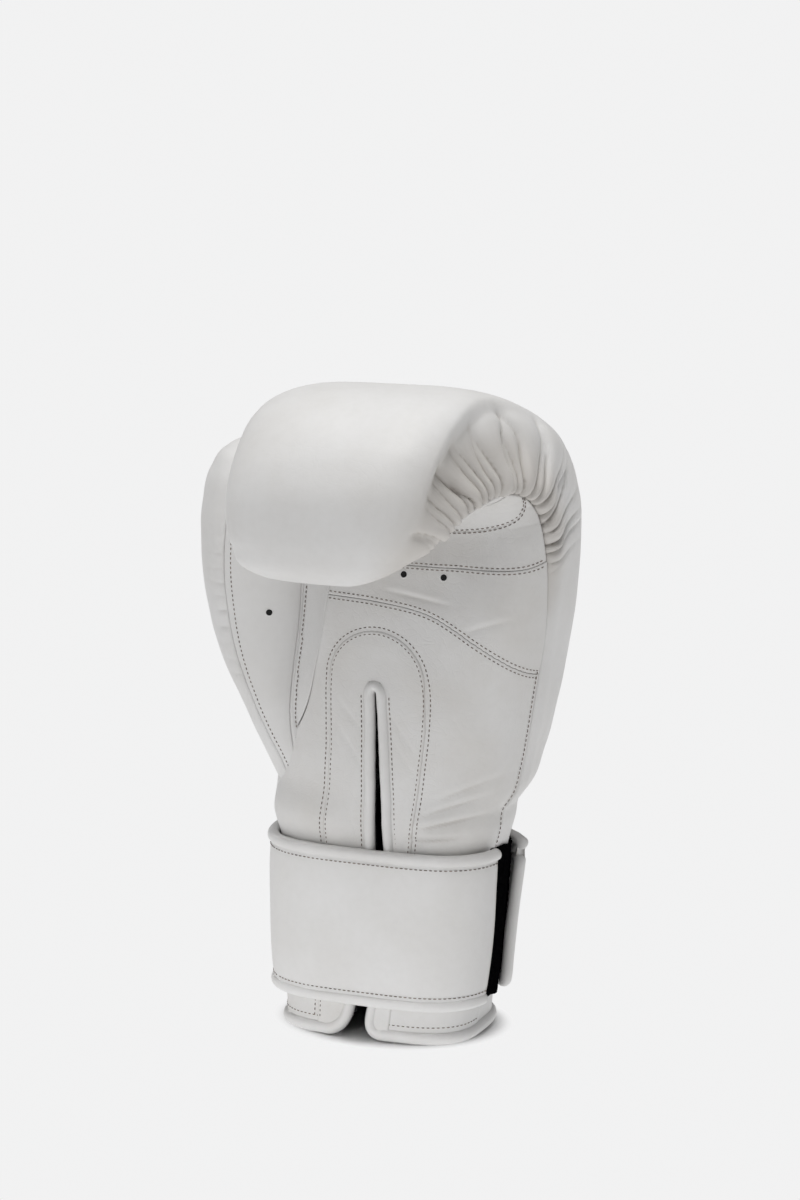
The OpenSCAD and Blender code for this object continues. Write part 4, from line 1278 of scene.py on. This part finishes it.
def palm_stitch_lines():
    """Every row of stitches on the palm: the seam, the reinforcement, the slit, the side and the hem."""
    lines = []
    seam = smooth_line(PALM_SEAM)
    way = unit(np.gradient(seam, axis=0))
    for offset in (1.55, -1.55):
        line = seam + offset * np.stack([-way[:, 1], way[:, 0]], axis=1)
        line = line[(line[:, 0] > PALM.points[:, -1, 0].min() + 20) & (line[:, 0] < 80)]
        points, normals = palm_at(line, 0.05)
        keep = np.abs(points[:, 0] - line[:, 0]) < 0.6
        lines.append((points[keep], normals[keep]))
    lines.append(palm_at(patch_line(1.5), PATCH_LIFT + 0.08))
    lines.append(palm_at(patch_line(-1.6), 0.05))
    for side in (-1, 1):
        lines.append(palm_at(slit_side_line(side, 16, SLIT_HEAD[1] - 4, ROLL * 2 + 1.1), PATCH_LIFT + 0.08))
    reach = np.arange(14, HAND.mark(6.9), 1.0)
    side_rows = np.interp(reach, PALM_MARKS, np.arange(len(PALM_MARKS)))
    width = way_along(PALM.points, 1)[:, -1]
    column = PALM_LAST * 2.4 / np.interp(side_rows, np.arange(len(width)), width)
    lines.append(lifted(PALM.at(side_rows, column), palm_relief, 0.25))
    left, right = opening_sides(np.array([HEM_H + 3.0]))
    hem, normals = lifted(PALM.at(TUCK + 1.7, np.linspace(3, 156, 200)), palm_relief, 0.06)
    lines += [(hem[part], normals[part]) for part in (hem[:, 0] < left[0] - 6, hem[:, 0] > right[0] + 6)]
    return lines


def all_stitches():
    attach(stitches("palm_stitches", palm_stitch_lines()), "hand")
    crease = [crease_seam_lines(1.7), inner_seam_line(-1.5, 0.15), inner_seam_line(1.5, 0.4)]
    crease = [lifted(line, crease_relief, 0.1) for line in crease]
    bends_with("fingers", stitches("crease_stitches", crease))
    below = lifted(crease_seam_lines(-1.7), palm_relief, 0.05)
    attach(stitches("upper_palm_stitches", [below]), "hand")
    thumb_line = thumb_at(THUMB_L, -1.9, 124, 252, 0.05)
    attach(stitches("thumb_stitches", [thumb_line], pitch=2.2, length=1.4), "thumb")
    points, normals, way = thumb_web_skin()
    nearest = np.argmin(np.abs(way - 2.5), axis=1)
    line = np.arange(14, len(points) - 3), nearest[14:len(points) - 3]
    web_line = (points[line] + normals[line] * 0.35, normals[line])
    bends_with("thumb", stitches("web_stitches", [web_line], pitch=2.2, length=1.4))


# ---- Camera, floor and light ------------

STUDIO = (0.885, 0.885, 0.885 * 1.002, 1)  # the pale grey behind the glove


def camera():
    """Straight on to the palm from a little to the right and above."""
    turn, rise, away = math.radians(22), math.radians(13), 2.0
    back = Vector((math.sin(turn) * math.cos(rise), -math.cos(turn) * math.cos(rise), math.sin(rise)))
    right = Vector((math.cos(turn), math.sin(turn), 0))
    up = back.cross(right)
    aside, above = 0.0055, 0.0485
    target = Vector((0, 0, 0.150)) + right * aside + up * above
    data = bpy.data.cameras.new("camera")
    data.lens, data.sensor_width = 130.4, 36.0
    view = placed("camera", data)
    axes = Matrix((right, up, back)).transposed().to_4x4()
    view.matrix_world = Matrix.Translation(target + back * away) @ axes
    bpy.context.scene.camera = view


def floor():
    """A floor that shades softly round the glove and is the studio's even grey further off."""
    mesh = bpy.data.meshes.new("studio_floor")
    turn = np.linspace(0, 2 * math.pi, 64, endpoint=False)
    mesh.from_pydata([(14 * math.cos(a), 14 * math.sin(a), -0.0003) for a in turn], [], [list(range(64))])
    material, tree, shader, place = new_material("studio_floor", (0.8, 0.8, 0.8), 0.9)
    shader.inputs["Specular IOR Level"].default_value = 0.1
    middle = vector_math(tree, "ADD", "Vector", place, (-0.0025, 0, 0))
    even = vector_math(tree, "MULTIPLY", "Vector", middle, (20.0, 25.0, 0))
    reach = vector_math(tree, "LENGTH", "Value", even)
    far = ranged(tree, reach, 0.0, 1.0, 0.92, 1.15, interpolation_type="SMOOTHSTEP")
    seen = add_node(tree, "ShaderNodeLightPath").outputs["Is Camera Ray"]
    glow = add_node(tree, "ShaderNodeEmission", {"Color": STUDIO, "Strength": ranged(tree, seen, 1.15, 1.0)})
    show_mix(tree, "Material Output", far, shader, glow)
    mesh.materials.append(material)
    placed("studio_floor", mesh)


def area_light(name, place, target, size, power, spread=180):
    data = bpy.data.lights.new(name, "AREA")
    data.spread = math.radians(spread)
    data.shape, data.size, data.energy = "DISK", size, power
    light = placed(name, data)
    light.location = place
    light.rotation_euler = (Vector(target) - Vector(place)).to_track_quat("-Z", "Y").to_euler()


def lighting():
    """An even white studio, two big softboxes above and a narrow one low in front."""
    world = bpy.data.worlds.new("studio")
    world.use_nodes = True
    tree = world.node_tree
    soft = tree.nodes["Background"]
    soft.inputs["Color"].default_value = (1, 1, 1, 1)
    soft.inputs["Strength"].default_value = 0.25
    seen = add_node(tree, "ShaderNodeBackground", {"Color": STUDIO})
    camera_ray = add_node(tree, "ShaderNodeLightPath").outputs["Is Camera Ray"]
    show_mix(tree, "World Output", camera_ray, soft, seen)
    bpy.context.scene.world = world
    area_light("top_softbox", (-0.05, 0.05, 1.8), (0, 0, 0.1), 1.2, 17.5)
    area_light("front_softbox", (0.05, -0.9, 2.15), (0, 0, 0.15), 1.5, 12.3)
    area_light("low_grid_softbox", (-0.25, -1.15, 0.2), (0.01, 0, -0.065), 0.3, 0.1, 24)
    bpy.context.scene.view_settings.view_transform = "Standard"


camera()
floor()
lighting()
main_cover()
palm_covers()
slit_patch_cover()
slit_piping()
hem_piping()
crease_covers()
cuff_cover()
thumb_covers()
thumb_web()
strap()
tape_patch("loop_patch", -50, STRAP_START - 1, 1, (0, 1.0), LOOP, "hand", seed=111)
tape_patch("hook_patch", HINGE_PEEL + 25, STRAP_END - 7, 9, (1.7, 2.6), HOOK, "strap_tail", seed=112)
linings()
vents()
all_stitches()
